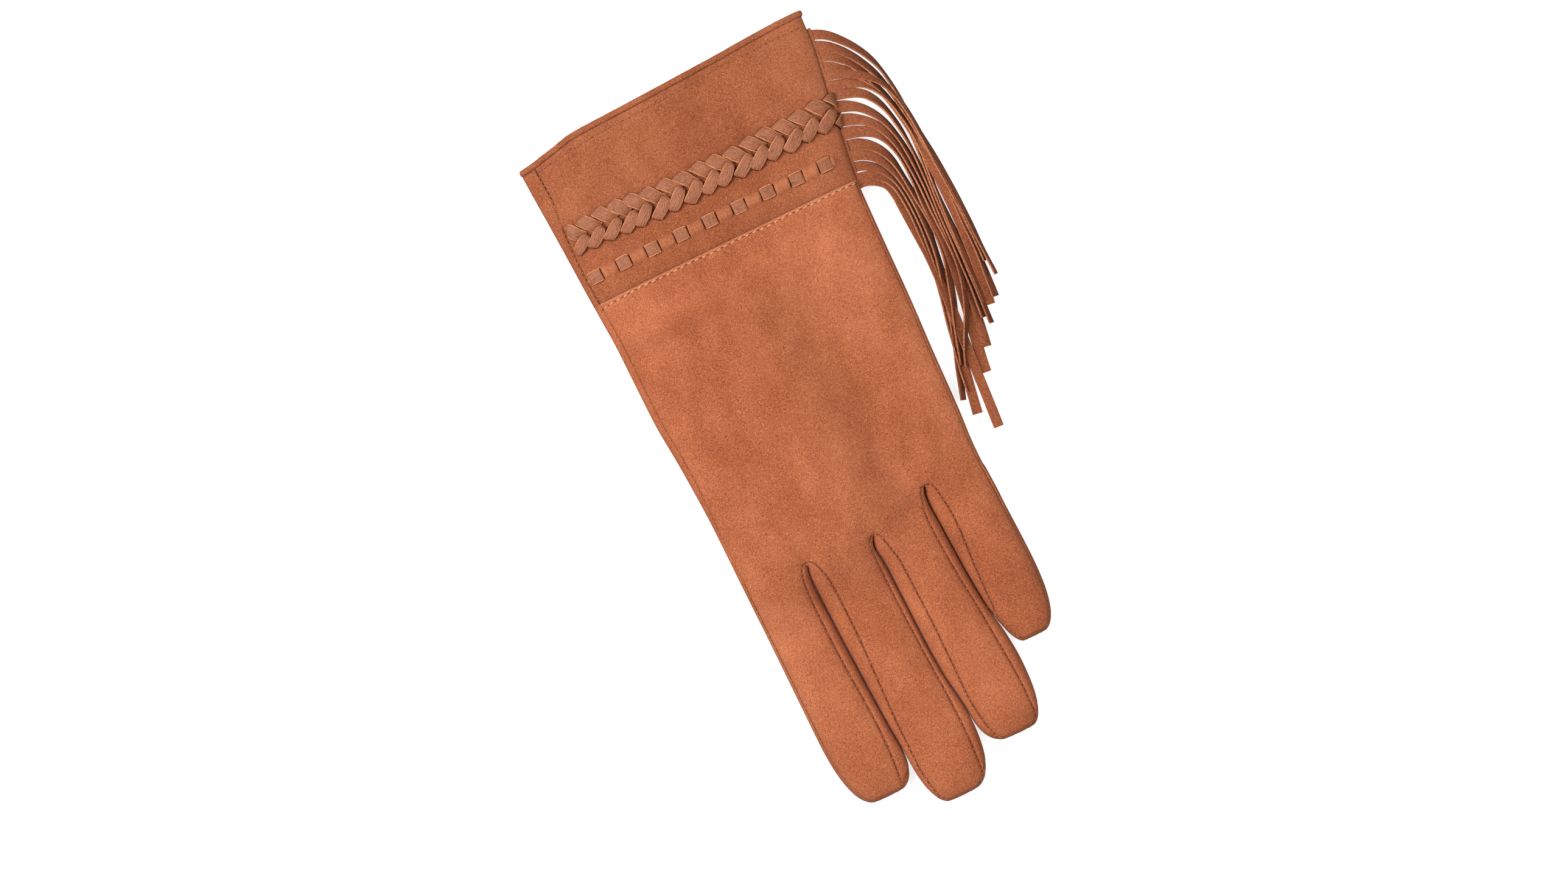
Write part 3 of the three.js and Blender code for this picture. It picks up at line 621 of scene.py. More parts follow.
WAVE_DETAIL_SHARE = 0.4
PUCKER_REACH = 9
PUCKER_WIDTH = 3.6
PUCKER_HEIGHT, PUCKER_DIP = 0.3, 0.25
PUCKER_COUNT = 4  # gathers round a slit's end
HAND_TO_FINGER = (-96, -125)  # the levels over which the hand's section turns into a finger's


def fold_height(x, y):
    total = 0.0
    for fold in FOLDS:
        (x0, y0), (x1, y1) = fold["start"], fold["end"]
        run_x, run_y = x1 - x0, y1 - y0
        length = math.hypot(run_x, run_y)
        along = ((x - x0) * run_x + (y - y0) * run_y) / length
        across = ((x - x0) * run_y - (y - y0) * run_x) / length
        if not -FOLD_END < along < length + FOLD_END or abs(across) > 3 * fold["width"]:
            continue
        fade_out = ease(length - FOLD_END, length + FOLD_END, along)
        fade = ease(-FOLD_START, FOLD_START, along) * (1 - fade_out)
        total += fold["height"] * fade * math.exp(-((across / fold["width"]) ** 2))
    return total


def waves(x, y, size=14.0, height=0.2):
    """Two slices through a cloud of noise, the second one finer and weaker."""
    slow = noise.noise(Vector((x / size, y / size, 3.7)))
    quick = noise.noise(Vector((x / size * WAVE_DETAIL, y / size * WAVE_DETAIL, 9.1)))
    return height * (slow + WAVE_DETAIL_SHARE * quick)


def pucker(x, y):
    """Small gathers round the end of each slit."""
    total = 0.0
    for apex_x, apex_y in APEX:
        away = math.hypot(x - apex_x, y - apex_y)
        if away < PUCKER_REACH:
            angle = math.atan2(y - apex_y, x - apex_x)
            fade = math.exp(-((away / PUCKER_WIDTH) ** 2)) * ease(0, 1.5, away)
            total += fade * (PUCKER_HEIGHT * math.cos(PUCKER_COUNT * angle + apex_x) - PUCKER_DIP)
    return total


def back_height(number, x, y):
    """Height of the back of the hand or of a finger, before its seams roll in."""
    to_finger = ease(*HAND_TO_FINGER, y)
    height = lerp(hand_height(x, y), finger_height(number, x, y), to_finger)
    return height + lift(x, y) + fold_height(x, y) + waves(x, y) + pucker(x, y)


print("back of the hand at its middle, in mm:", round(back_height(1, 0, -60), 1))

# %% [markdown]
# Most panels are made alike: Blender's grid operator makes a flat sheet of unit size, and a function
# puts each of its points on the glove. The sheet's two coordinates run across and along the panel. A
# coarse cage under a Subdivision modifier would need fewer points, but would drift off the seams.
# Sheets that share an edge are welded, and a Solidify modifier gives the leather its thickness towards
# the inside. Its rim takes the last of the piece's finishes, which is the cut edge's where one shows.

# %% How a panel is made
WELD_DISTANCE = 0.01
ROUND_EDGE_ANGLE = math.radians(50)  # edges sharper than this are rounded


def add_sheet(mesh, columns, rows, place, flip=False, uv=None, edge_finish=0, fold_finish=0, fold_rows=1):
    """A grid whose points go where place(across, along) puts them, both from 0 to 1.

    edge_finish is the number of the finish for its two outer columns, and fold_finish the one for its
    first fold_rows rows.
    """
    made = bmesh.ops.create_grid(mesh, x_segments=columns, y_segments=rows, size=0.5)
    verts = made["verts"]
    faces = {face for vert in verts for face in vert.link_faces}
    for face in faces:
        if abs(face.calc_center_median().x) > 0.5 - 1 / columns:
            face.material_index = edge_finish
        if fold_finish and face.calc_center_median().y < -0.5 + fold_rows / rows:
            face.material_index = fold_finish
    if uv:
        layer = mesh.loops.layers.uv.verify()
        for loop in (loop for face in faces for loop in face.loops):
            loop[layer].uv = uv(loop.vert.co.x + 0.5, loop.vert.co.y + 0.5)
    for vert in verts:
        vert.co = place(vert.co.x + 0.5, vert.co.y + 0.5)
    if flip:
        bmesh.ops.reverse_faces(mesh, faces=list(faces))
    return verts


def weld(mesh):
    bmesh.ops.remove_doubles(mesh, verts=mesh.verts, dist=WELD_DISTANCE)


def finish_piece(name, mesh, finishes, wall=0.0, replaces=None, round_edge=0.0):
    """Scales a mesh from millimetres to metres and makes it a piece of the glove."""
    bmesh.ops.scale(mesh, vec=(MM, MM, MM), verts=mesh.verts)
    for face in mesh.faces:
        face.smooth = True
    data = bpy.data.meshes.new(name)
    mesh.to_mesh(data)
    mesh.free()
    for finish in finishes:
        data.materials.append(finish)
    piece = bpy.data.objects.new(name, data)
    scene.collection.objects.link(piece)
    if wall:
        solidify = piece.modifiers.new("leather_thickness", "SOLIDIFY")
        solidify.thickness = wall * MM
        solidify.offset = -1
        solidify.material_offset_rim = len(finishes) - 1
    if round_edge:
        bevel = piece.modifiers.new("round_edge", "BEVEL")
        bevel.width = round_edge * MM
        bevel.segments = 2
        bevel.limit_method = "ANGLE"
        bevel.angle_limit = ROUND_EDGE_ANGLE
    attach(piece, "root")
    if replaces:
        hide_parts(replaces)
    print(name, len(data.polygons), "faces")


def arch_over(share):
    """A low arch over a strip: 0 at its edges, where the share is 0 or 1, and 1 in its middle."""
    return 1 - (2 * share - 1) ** 2


def crowd_ends(share, evenness):
    """Spaces evenly placed rows closer towards both ends, the more so the smaller the evenness."""
    return lerp((1 - math.cos(math.pi * share)) / 2, share, evenness)


# %% [markdown]
# The back of the hand and the backs of the four fingers are one piece of suede, slit between the
# fingers. It is made as four sheets side by side that share their edges down to the slits. Their rows
# run across the hand, lean to the line of the slits' ends and close round each fingertip. At a seam
# the leather turns down into a groove. At the wrist its edge is folded, laid over the cuff and sewn
# down, so it stands a little proud there. The fold's own rows are in a paler suede, a painted
# highlight where the folded edge catches the light, and the rim under them, which only shows as a
# line on the cuff, is in the cuff's.

# %% The back of the hand
SHEET_COLUMNS = 20
HAND_SHARE = 0.52  # of the rows that belong to the hand, the rest being the finger's
BACK_ROWS = 200
SEAM_ROLL_WIDTH = 0.7
SEAM_ROLL_DEPTH = 0.6
OUTER_SEAM_FLAT = 0.35  # the seam on the little finger's edge is nearly level
NO_SEAM_NEAR = 9.0  # stands for a distance at which a seam has no effect
WRIST_FOLD_RISE = 0.8
WRIST_FOLD_LEVELS = (-9, -0.5)  # the rise starts and ends here
WRIST_FOLD_START_Y = -12
WRIST_FOLD_LIP = 1.1
WRIST_STITCH_DEPTH = 0.3
STITCH_GROOVE = 0.45  # half width of the groove that a line of stitches pulls down
# Left and right ends of each finger's root line: the index's side, the three slits, the little's side
ROOTS = [(-44.0, -103.6), *APEX, (42.2, -98.0)]
ROW_BOW = 0.8  # of the ring finger's rows, which would cross below the little finger's slit if straight
ARCH_REACH = 14  # below its apex, a slit's two edges are so steep that x alone tells the distance
ARCH_STEPS = 40


def back_seam_x(number, side, y):
    """The back panel's edge on one side of a finger."""
    outline = finger_side(number, side, y, EDGE_SEAM_INSET)
    if side == "left":
        seam = side_seam_x(y) if number == 0 else read(FOURCHETTES[number - 1], "y", "right", y)
        return max(outline, seam)
    return outline if number == 3 else min(outline, read(FOURCHETTES[number], "y", "left", y))


def arch(pair):
    """The rounded upper end of a slit between two fingers, as points."""
    apex_y = APEX[pair][1]
    levels = [apex_y - ARCH_REACH * (step / ARCH_STEPS) ** 2 for step in range(ARCH_STEPS + 1)]
    rows = FOURCHETTES[pair]
    left = [(read(rows, "y", "left", y), y) for y in reversed(levels)]
    return left + [(read(rows, "y", "right", y), y) for y in levels]


ARCHES = [arch(pair) for pair in range(3)]


def arch_away(x, y):
    """Distance to the nearest slit's rounded end."""
    near = [pair for pair in range(3) if math.dist((x, y), APEX[pair]) < ARCH_REACH - 2]
    return min((math.dist((x, y), place) for pair in near for place in ARCHES[pair]), default=NO_SEAM_NEAR)


def hand_bound_x(bound, y):
    """The five lines that bound the four sheets in the hand, from the index finger's side."""
    if bound == 0:
        return side_seam_x(y)
    return right_edge_x(y) - EDGE_SEAM_INSET if bound == 4 else APEX[bound - 1][0]


def wrist_stitch_y(x):
    """The wrist's line of stitches, which dips beside the side seam and wavers a little."""
    return -1.3 * math.exp(-(x + 46.8) / 3.5) + 0.12 * math.sin(x * 0.35)


def seam_roll(away):
    return -SEAM_ROLL_DEPTH * max(0.0, 1 - away / SEAM_ROLL_WIDTH) ** 2


def wrist_fold(x, y):
    """The folded edge's rise over the cuff, its rounded lip and the hollow of its stitches."""
    rise = WRIST_FOLD_RISE * ease(*WRIST_FOLD_LEVELS, y)
    lip = -WRIST_FOLD_LIP * max(0.0, 1 - (WRIST_Y - y) / WRIST_FOLD_LIP) ** 2
    stitches = -WRIST_STITCH_DEPTH * math.exp(-(((y - wrist_stitch_y(x)) / STITCH_GROOVE) ** 2))
    return rise + lip + stitches if y > WRIST_FOLD_START_Y else 0.0


def back_row(number, along):
    """The two ends of a row of a finger's sheet, and whether it lies in the hand."""
    (_, left_root), (_, right_root) = ROOTS[number], ROOTS[number + 1]
    if along <= HAND_SHARE:
        down = crowd_ends(along / HAND_SHARE, evenness=0.2)
        left_y = lerp(WRIST_Y, left_root, down)
        right_y = lerp(WRIST_Y, right_root, down)
        return (hand_bound_x(number, left_y), left_y), (hand_bound_x(number + 1, right_y), right_y), True
    down = crowd_ends((along - HAND_SHARE) / (1 - HAND_SHARE), evenness=0.12)
    tip = FINGERS[number]["tip"] + EDGE_SEAM_INSET
    left_y, right_y = lerp(left_root, tip, down), lerp(right_root, tip, down)
    left = (back_seam_x(number, "left", left_y), left_y)
    return left, (back_seam_x(number, "right", right_y), right_y), False


def back_point(number, across, along):
    (left_x, left_y), (right_x, right_y), in_hand = back_row(number, along)
    across = crowd_ends(across, evenness=0.4)
    bow = ROW_BOW * across * (1 - across) if number == 2 else 0.0
    x, y = lerp(left_x, right_x, across), lerp(left_y, right_y, across + bow)
    away = arch_away(x, y)
    if not in_hand:
        flat = OUTER_SEAM_FLAT if number == 3 else 0.0
        away = min(away, x - left_x, right_x - x + flat, y - FINGERS[number]["tip"] - EDGE_SEAM_INSET)
    elif number in (0, 3):
        away = min(away, x - left_x if number == 0 else right_x - x + OUTER_SEAM_FLAT)
    return Vector((x, y, back_height(number, x, y) + seam_roll(away) + wrist_fold(x, y)))


def make_hand_back():
    mesh = bmesh.new()
    for number in range(4):
        place = lambda a, k, n=number: back_point(n, a, k)
        add_sheet(mesh, SHEET_COLUMNS, BACK_ROWS, place, flip=True, fold_finish=1, fold_rows=3)
    weld(mesh)
    # The second finish paints a highlight along the wrist's fold.
    finishes = [SUEDE, WRIST_FOLD_PAINTED_HIGHLIGHT, CUFF_SUEDE]
    finish_piece("hand_back", mesh, finishes, LEATHER_WALL, "hand_back_panel")


make_hand_back()

# %% [markdown]
# The palm and the undersides of the fingers are one piece too. It starts at the side seam on the back
# of the index finger's side, wraps round that edge, passes under the hand and comes up the little
# finger's side. Between the fingers it stops low down, where the fourchettes are sewn to it, and at
# each fingertip it turns up to meet the back.

# %% The palm
PALM_ROWS = 150
PALM_COLUMNS = 20
PALM_TIP_SHARE = 0.96  # after this the rows climb the fingertip's end
PALM_TIP_BULGE = 0.4
PALM_SEAM_HEIGHT = 1.9
FINGER_START = 0.25  # share of a finger's rows over which the hand's section turns into its own
LEG_NARROWING = 7  # length over which a fourchette narrows to nothing
THUMB_HOLE = dict(x=-29, y=-48, half_width=10, half_length=15)
FULL_TURN = 2 * math.pi


def ring_point(left, right, top, power, angle, shrink=1):
    """A point of a section, from the right side (0) over the top and round under it."""
    x = (left + right) / 2 + (right - left) / 2 * signed_power(math.cos(angle), 2 / power)
    belly = top * BELLY
    up = signed_power(math.sin(angle), 2 / power) * shrink
    return x, max(0.0, belly + up * (top - belly if up > 0 else belly * UNDERSIDE))


def hand_ring(y, angle):
    return ring_point(*hand_row(y), HAND_POWER, angle)


def finger_ring(number, y, angle):
    return ring_point(*finger_sides(number, y), FINGER_TOP, FINGER_POWER, angle, tip_round(number, y))


def angle_at(x, left, right, power):
    """The angle, in a section's upper half, at which it has a given x."""
    u = min(max((2 * x - left - right) / (right - left), -1.0), 1.0)
    return math.acos(signed_power(u, power / 2))


def hand_angle(bound, y):
    left, right, _ = hand_row(y)
    angle = angle_at(hand_bound_x(bound, y), left, right, HAND_POWER)
    if bound == 0:
        return angle
    return FULL_TURN + angle if bound == 4 else FULL_TURN - angle


def leg_end(number, side):
    """The level near a fingertip at which its fourchette runs out into the edge seam."""
    y = FINGERS[number]["tip"] + 20
    while y > FINGERS[number]["tip"] + 2.5:
        outline = finger_side(number, side, y, EDGE_SEAM_INSET)
        if abs(back_seam_x(number, side, y) - outline) < 0.01:
            break
        y -= 0.2
    return y


def leg_narrows(number, side, y):
    """From 0 where a fourchette has its whole width to 1 where it runs out."""
    end = LEG_ENDS[(number, side)]
    return 1 - ease(end, end + LEG_NARROWING, y)


LEG_ENDS = {(n, side): leg_end(n, side) for n in range(4) for side in ("left", "right")}


def finger_angle(number, side, y, seam_y):
    """Where the palm's edge runs on a finger: low beside a fourchette, and up on the back elsewhere."""
    on_back = angle_at(back_seam_x(number, side, seam_y), *finger_sides(number, y), FINGER_POWER)
    is_outer = (number, side) in ((0, "left"), (3, "right"))
    belly = FINGER_TOP * BELLY
    below = belly * UNDERSIDE * max(tip_round(number, y), 0.05)
    sine = min(max((belly - PALM_SEAM_HEIGHT) / below, 0.0), 1.0)
    dip = math.asin(sine ** (FINGER_POWER / 2))
    climb = 1.0 if is_outer else leg_narrows(number, side, y)
    if side == "left":
        return lerp(math.pi + dip, on_back, climb)
    return lerp(FULL_TURN - dip, FULL_TURN + on_back, climb)


def palm_point(number, across, along):
    (_, left_root), (_, right_root) = ROOTS[number], ROOTS[number + 1]
    across = crowd_ends(across, evenness=0.5)
    root = lerp(left_root, right_root, across)
    if along <= HAND_SHARE:
        y = lerp(WRIST_Y, root, crowd_ends(along / HAND_SHARE, evenness=0.5))
        angle = lerp(hand_angle(number, y), hand_angle(number + 1, y), across)
        x, z = hand_ring(y, angle)
        return Vector((x, y, z + lift(x, y)))
    tip = FINGERS[number]["tip"]
    down = min((along - HAND_SHARE) / (PALM_TIP_SHARE - HAND_SHARE), 1.0)
    out = crowd_ends(down, evenness=0.2)
    y = lerp(root, tip, out)
    seam_y = lerp(root, tip + EDGE_SEAM_INSET, out)  # the back's edge at this row
    side = "left" if across < 0.5 else "right"
    in_hand = hand_ring(y, lerp(hand_angle(number, y), hand_angle(number + 1, y), across))
    left, right = finger_angle(number, "left", y, seam_y), finger_angle(number, "right", y, seam_y)
    angle = lerp(left, right, across)
    in_finger = finger_ring(number, y, angle)
    share = ease(0, FINGER_START, down)
    x, z = lerp(in_hand[0], in_finger[0], share), lerp(in_hand[1], in_finger[1], share)
    point = Vector((x, y, z + lift(x, y)))
    seam_sine = math.sin(left if side == "left" else right)
    at_edge = float(across in (0.0, 1.0))
    to_seam = max(0.0, math.sin(angle)) / seam_sine if seam_sine > 0.05 else at_edge
    if to_seam:
        seam_x = back_seam_x(number, side, seam_y)
        roll = seam_roll(OUTER_SEAM_FLAT if (number, side) == (3, "right") else 0.0)
        seam = Vector((seam_x, seam_y, back_height(number, seam_x, seam_y) + roll))
        point = point.lerp(Vector((x, seam_y, z + lift(x, seam_y))), to_seam).lerp(seam, to_seam**4)
    climb = max(0.0, (along - PALM_TIP_SHARE) / (1 - PALM_TIP_SHARE))
    if climb:
        top = back_point(number, across, 1.0)
        bulge = PALM_TIP_BULGE * math.sin(math.pi * climb) * math.sin(math.pi * across)
        point = point.lerp(top, climb) + Vector((0, -bulge, 0))
    return point


def open_hole(mesh, hole, low, high):
    """Takes out the faces inside an oval between two heights, and fits the hole's rim to the oval."""
    def reach(place):
        across = (place.x - hole["x"]) / hole["half_width"]
        return math.hypot(across, (place.y - hole["y"]) / hole["half_length"])

    inside = [
        face
        for face in mesh.faces
        if low < face.calc_center_median().z < high and reach(face.calc_center_median()) < 1
    ]
    bmesh.ops.delete(mesh, geom=inside, context="FACES")
    for edge in (edge for edge in mesh.edges if edge.is_boundary):
        for vert in edge.verts:
            size = reach(vert.co)
            if low < vert.co.z < high and 0.8 < size < 1.2:
                vert.co.x = lerp(hole["x"], vert.co.x, 1 / size)
                vert.co.y = lerp(hole["y"], vert.co.y, 1 / size)


def make_palm():
    mesh = bmesh.new()
    for number in range(4):
        add_sheet(mesh, PALM_COLUMNS, PALM_ROWS, lambda a, k, n=number: palm_point(n, a, k))
    weld(mesh)
    open_hole(mesh, THUMB_HOLE, THUMB_LIFT - 1, THUMB_LIFT + 2)
    finish_piece("palm", mesh, [SUEDE], LEATHER_WALL, "palm_panel")


make_palm()

# %% [markdown]
# A fourchette is a long narrow strip that makes the facing sides of two fingers. It runs down one
# finger, turns in the crotch and runs up the next, so one sheet does it: along the strip from tip to
# tip, and across it from the seam on the back to the seam low on the palm side. It leaves the back's
# seam nearly level, which is why a band of it shows beside each crease, and then drops to the crease.
# Strips this narrow are pared thinner than the panels.

# %% The fourchettes
FOURCHETTE_ROWS = 240
FOURCHETTE_COLUMNS = 18
FOURCHETTE_TURN = 0.62  # share of the strip's width from the back's seam to the finger's widest level
FOURCHETTE_WALL = 0.9
FOURCHETTE_ROOT = 0.12  # share of a leg over which its seam climbs out of the crotch
LEG_LEFT_OVER = 0.05  # share of its width that a leg keeps at the fingertip
FOOT_INSET = 1.2  # how far under the finger the strip's lower edge turns
FOOT_START = 0.03  # share of a leg over which it turns so far
FOOT_LOWEST = 0.3
FOURCHETTE_PAIRS = ["index_middle", "middle_ring", "ring_little"]


def fourchette_point(pair, across, along):
    """The strip's lengthwise lines are arches, one inside the other, from the slit's edge to the crease."""
    number, side = (pair, "right") if along < 0.5 else (pair + 1, "left")
    out = crowd_ends(abs(along - 0.5) * 2, evenness=0.15)  # from the crotch to the fingertip
    dip = WEB_DIP[pair] * ease(0, FOURCHETTE_TURN, across)
    y = lerp(APEX[pair][1] - dip, LEG_ENDS[(number, side)], out)
    seam_y = y + dip * (1 - ease(0, FOURCHETTE_ROOT, out))
    seam_x = back_seam_x(number, side, seam_y)
    side_x = finger_side(number, side, y)
    seam_z = back_height(number, seam_x, seam_y)
    belly_z = FINGER_TOP * BELLY
    foot_z = max(belly_z - (belly_z - PALM_SEAM_HEIGHT) * tip_round(number, y), FOOT_LOWEST)
    raised = lift(side_x, y)
    across *= 1 - (1 - LEG_LEFT_OVER) * leg_narrows(number, side, y)
    if across < FOURCHETTE_TURN:
        angle = across / FOURCHETTE_TURN * math.pi / 2
        x = lerp(seam_x, side_x, math.sin(angle) ** 0.95)
        z = lerp(belly_z + raised, seam_z, math.cos(angle) ** 0.8)
    else:
        angle = (across - FOURCHETTE_TURN) / (1 - FOURCHETTE_TURN) * math.pi / 2
        inward = (FOOT_INSET if side == "left" else -FOOT_INSET) * min(out / FOOT_START, 1.0)
        x = side_x + inward * (1 - math.cos(angle))
        z = lerp(belly_z, foot_z, math.sin(angle)) + raised
    away = min(abs(x - seam_x), arch_away(x, y)) if across < FOURCHETTE_TURN else SEAM_ROLL_WIDTH
    return Vector((x, y, z + seam_roll(away) + 0.3 * waves(x, y, 5)))


def make_fourchettes():
    for pair, name in enumerate(FOURCHETTE_PAIRS):
        mesh = bmesh.new()
        place = lambda a, k, p=pair: fourchette_point(p, crowd_ends(a, evenness=0.5), k)
        add_sheet(mesh, FOURCHETTE_COLUMNS, FOURCHETTE_ROWS, place)
        finish_piece("finger_sides_" + name, mesh, [SUEDE], FOURCHETTE_WALL, "fourchette_" + name)


make_fourchettes()

# %% [markdown]
# The thumb is a small mitt of its own, sewn round a hole in the palm. On this glove it is folded in
# and pressed flat under the palm, where the camera can't see it, and it holds that side of the hand
# off the table. Its sheet runs round the section and from the root's closed end to the tip.

# %% The thumb
THUMB_TOP = 6.8
THUMB_POWER = 2.6
THUMB_AROUND, THUMB_ALONG = 72, 96  # faces round the section and from root to tip
THUMB_ROOT_CLOSE, THUMB_TIP_CLOSE = 9, 11  # lengths over which its two ends close
THUMB_ROWS = make_table(
    "y left right",
    (-27, -37, -21), (-31, -42, -16.6), (-38, -43.8, -14.8), (-62, -43, -15.2),
    (-80, -39.6, -17.6), (-91, -35, -21.4), (-95, -30.8, -25.2),
)


def thumb_point(around, along):
    first, last = THUMB_ROWS[0]["y"], THUMB_ROWS[-1]["y"]
    y = lerp(first, last, crowd_ends(along, evenness=0.3))
    left, right = read(THUMB_ROWS, "y", "left", y), read(THUMB_ROWS, "y", "right", y)
    at_root, at_tip = 1 - ease(0, THUMB_ROOT_CLOSE, first - y), ease(-THUMB_TIP_CLOSE, 0, last - y)
    angle = around * FULL_TURN
    x = (left + right) / 2 + (right - left) / 2 * signed_power(math.cos(angle), 2 / THUMB_POWER)
    half = THUMB_TOP / 2 * math.sqrt(1 - (TIP_CLOSE * max(at_root, at_tip)) ** 2)
    z = THUMB_TOP / 2 + half * signed_power(math.sin(angle), 2 / THUMB_POWER)
    return Vector((x, y, max(z + 0.3 * waves(x, y, 9, 0.3), 0.02)))


def make_thumb():
    mesh = bmesh.new()
    add_sheet(mesh, THUMB_AROUND, THUMB_ALONG, thumb_point)
    weld(mesh)
    open_hole(mesh, THUMB_HOLE, THUMB_TOP * 0.6, THUMB_TOP * 1.2)
    finish_piece("thumb_mitt", mesh, [SUEDE], LEATHER_WALL, "thumb")


make_thumb()

# %% [markdown]
# The cuff's back is a separate panel between the wrist seam and the hem. The running lace goes in and
# out of it through a row of slits. So the sheet's columns stand on the ends of the lace's dashes, and
# the edges of each slit are split in the flat sheet before it is placed. The side under a dash then
# dips, and the side over the hidden lace rises. How far it rises is kept as an attribute of its points,
# from which a painted highlight makes the suede paler there, as if the raised suede caught the light.

# %% The cuff's back
LACE_Y = 9.6
LACE_WIDTH = 4.2
LACE_DASHES = 9
LACE_FIRST_X = -43.7  # middle of the dash next to the side seam
LACE_PITCH = 10.38
LACE_DASH = 5.3
LACE_LAST_RISE_X = 42.5  # past the last dash no lace is hidden under the suede
DASH_DIP = 0.45
HIDDEN_RISE = 0.85  # over the lace's hidden stretch
HIDDEN_END_RISE = 0.15  # so much more at both its ends
SLIT_HALF = 2.2
CUFF_ROW_PITCH = SLIT_HALF / 3
CUFF_LOWER_ROWS = 17  # rows at that pitch, from under the wrist's fold to past the lace
CUFF_UPPER_ROWS = 48
CUFF_FOOT_Y = LACE_Y - SLIT_HALF - 9 * CUFF_ROW_PITCH
SLIT_ROWS = (9, 15)
STEPS = 5  # columns to a dash, and to the suede between two dashes
WRAP_INSET = 2.0  # the sheet's columns follow the turn of the little finger's edge from here
WRAP_COLUMNS = 9
CROWDING = 0.45  # how much closer the rows get towards the hem
HEADER_Z = 5.3
HEADER_HALF = 0.8  # the cuff's two sides end so far above and below the fringe's uncut edge
CUFF_FOOT_DIPS = [(0.35, 1.2, 2.1), (0.3, 1.5, 4.5)]  # under the wrist's fold: depth and two levels
PLAIT_Y = 24
PLAIT_REACH = 6.5
PLAIT_DIP = 0.25
BINDING_WIDTH = 2.2
HEM_SEAM_FLAT = 0.25  # taken as so much farther off, so that the hem's seam rolls in less
TOPSTITCH_RISE = 0.18  # of the doubled edge above the stitches
TOPSTITCH_DEPTH = 0.3
TOPSTITCH_ROWS = make_table(
    "x y",
    (-51, 47.2), (-46, 48.2), (-40, 48.9), (-30, 50.2), (-20, 51), (0, 51.5), (12, 52), (22, 52.9),
    (53, 53.4),
)


def lace_stations():
    """The sheet's columns as x at the lace's level, and the numbers of those on a slit."""
    stations, slits = [side_seam_x(LACE_Y)], {}
    for dash in range(LACE_DASHES):
        start = LACE_FIRST_X + dash * LACE_PITCH - LACE_DASH / 2
        slits[len(stations)] = 1  # the dash lies to the right of this slit
        stations += [start + LACE_DASH * step / STEPS for step in range(STEPS)]
        slits[len(stations)] = -1
        stations += [start + LACE_DASH + (LACE_PITCH - LACE_DASH) * step / STEPS for step in range(STEPS)]
    last = LACE_FIRST_X + (LACE_DASHES - 1) * LACE_PITCH + LACE_DASH / 2
    stations = [x for x in stations if x <= last + 0.01]
    end = right_edge_x(LACE_Y) - WRAP_INSET
    return stations + [lerp(last, end, step / 4) for step in (1, 2, 3, 4)], slits


STATIONS, SLITS = lace_stations()
CUFF_COLUMNS = len(STATIONS) - 1 + WRAP_COLUMNS
CUFF_ROWS = CUFF_LOWER_ROWS + CUFF_UPPER_ROWS


def lace_relief(x, y, on_dash):
    """How the suede dips under a dash of the lace and rises over its hidden stretches."""
    reach = abs(y - LACE_Y) / SLIT_HALF
    first, last = LACE_FIRST_X - LACE_DASH / 2, LACE_FIRST_X + (LACE_DASHES - 0.5) * LACE_PITCH
    if reach >= 1.9 or not first - 0.01 <= x <= last:
        return 0.0
    crisp = max(0.0, 1 - reach**4)
    place = ((x - LACE_FIRST_X) / LACE_PITCH + 0.5) % 1 - 0.5  # 0 at a dash's middle
    if on_dash:
        return -DASH_DIP * crisp
    middle = (abs(place) - 0.5) / 0.25
    rise = HIDDEN_RISE + HIDDEN_END_RISE * min(middle * middle, 1)
    return rise * crisp if x < LACE_LAST_RISE_X else 0.0


def cuff_height(x, y, on_dash=False):
    """Height of the cuff's back, with the marks of its stitches and seams."""
    height = hand_height(x, y) + waves(x, y, size=11, height=0.22) + lace_relief(x, y, on_dash)
    height -= sum(depth * (1 - ease(low, high, y)) for depth, low, high in CUFF_FOOT_DIPS)
    over = y - read(TOPSTITCH_ROWS, "x", "y", x)
    height += TOPSTITCH_RISE * ease(-3, 0, over) - TOPSTITCH_DEPTH * math.exp(-((over / STITCH_GROOVE) ** 2))
    return height - PLAIT_DIP * math.exp(-(((y - PLAIT_Y) / PLAIT_REACH) ** 4))


def cuff_row_y(row, x):
    if row <= CUFF_LOWER_ROWS:
        return CUFF_FOOT_Y + row * CUFF_ROW_PITCH
    start = CUFF_FOOT_Y + CUFF_LOWER_ROWS * CUFF_ROW_PITCH
    share = (row - CUFF_LOWER_ROWS) / CUFF_UPPER_ROWS
    return lerp(start, hem_y(x) - BINDING_WIDTH, lerp(share, math.sin(share * math.pi / 2), CROWDING))


def cuff_point(column, row, on_dash):
    left, flat_end = STATIONS[0], STATIONS[-1]
    if column < len(STATIONS):
        share = (STATIONS[column] - left) / (flat_end - left)
        y = cuff_row_y(row, STATIONS[column])
        x = lerp(side_seam_x(y), right_edge_x(y) - WRAP_INSET, share)
        y = cuff_row_y(row, x)
        z = cuff_height(x, y, on_dash)
        side_away = x - side_seam_x(y)
    else:
        wrap = (column - len(STATIONS) + 1) / WRAP_COLUMNS
        y = cuff_row_y(row, right_edge_x(40))
        left_x, right_x, top = hand_row(y)
        turn_x = right_x - WRAP_INSET
        start = angle_at(turn_x, left_x, right_x, HAND_POWER)
        rise = (HEADER_Z + HEADER_HALF - top * BELLY) / (top * (1 - BELLY))
        end = math.asin(rise ** (HAND_POWER / 2))
        x, z = hand_ring(y, lerp(start, end, wrap))
        z += lerp(cuff_height(turn_x, y) - hand_height(turn_x, y), 0, wrap)
        side_away = NO_SEAM_NEAR
    hem_away = hem_y(x) - BINDING_WIDTH - y
    return Vector((x, y, z + seam_roll(min(side_away, hem_away + HEM_SEAM_FLAT))))


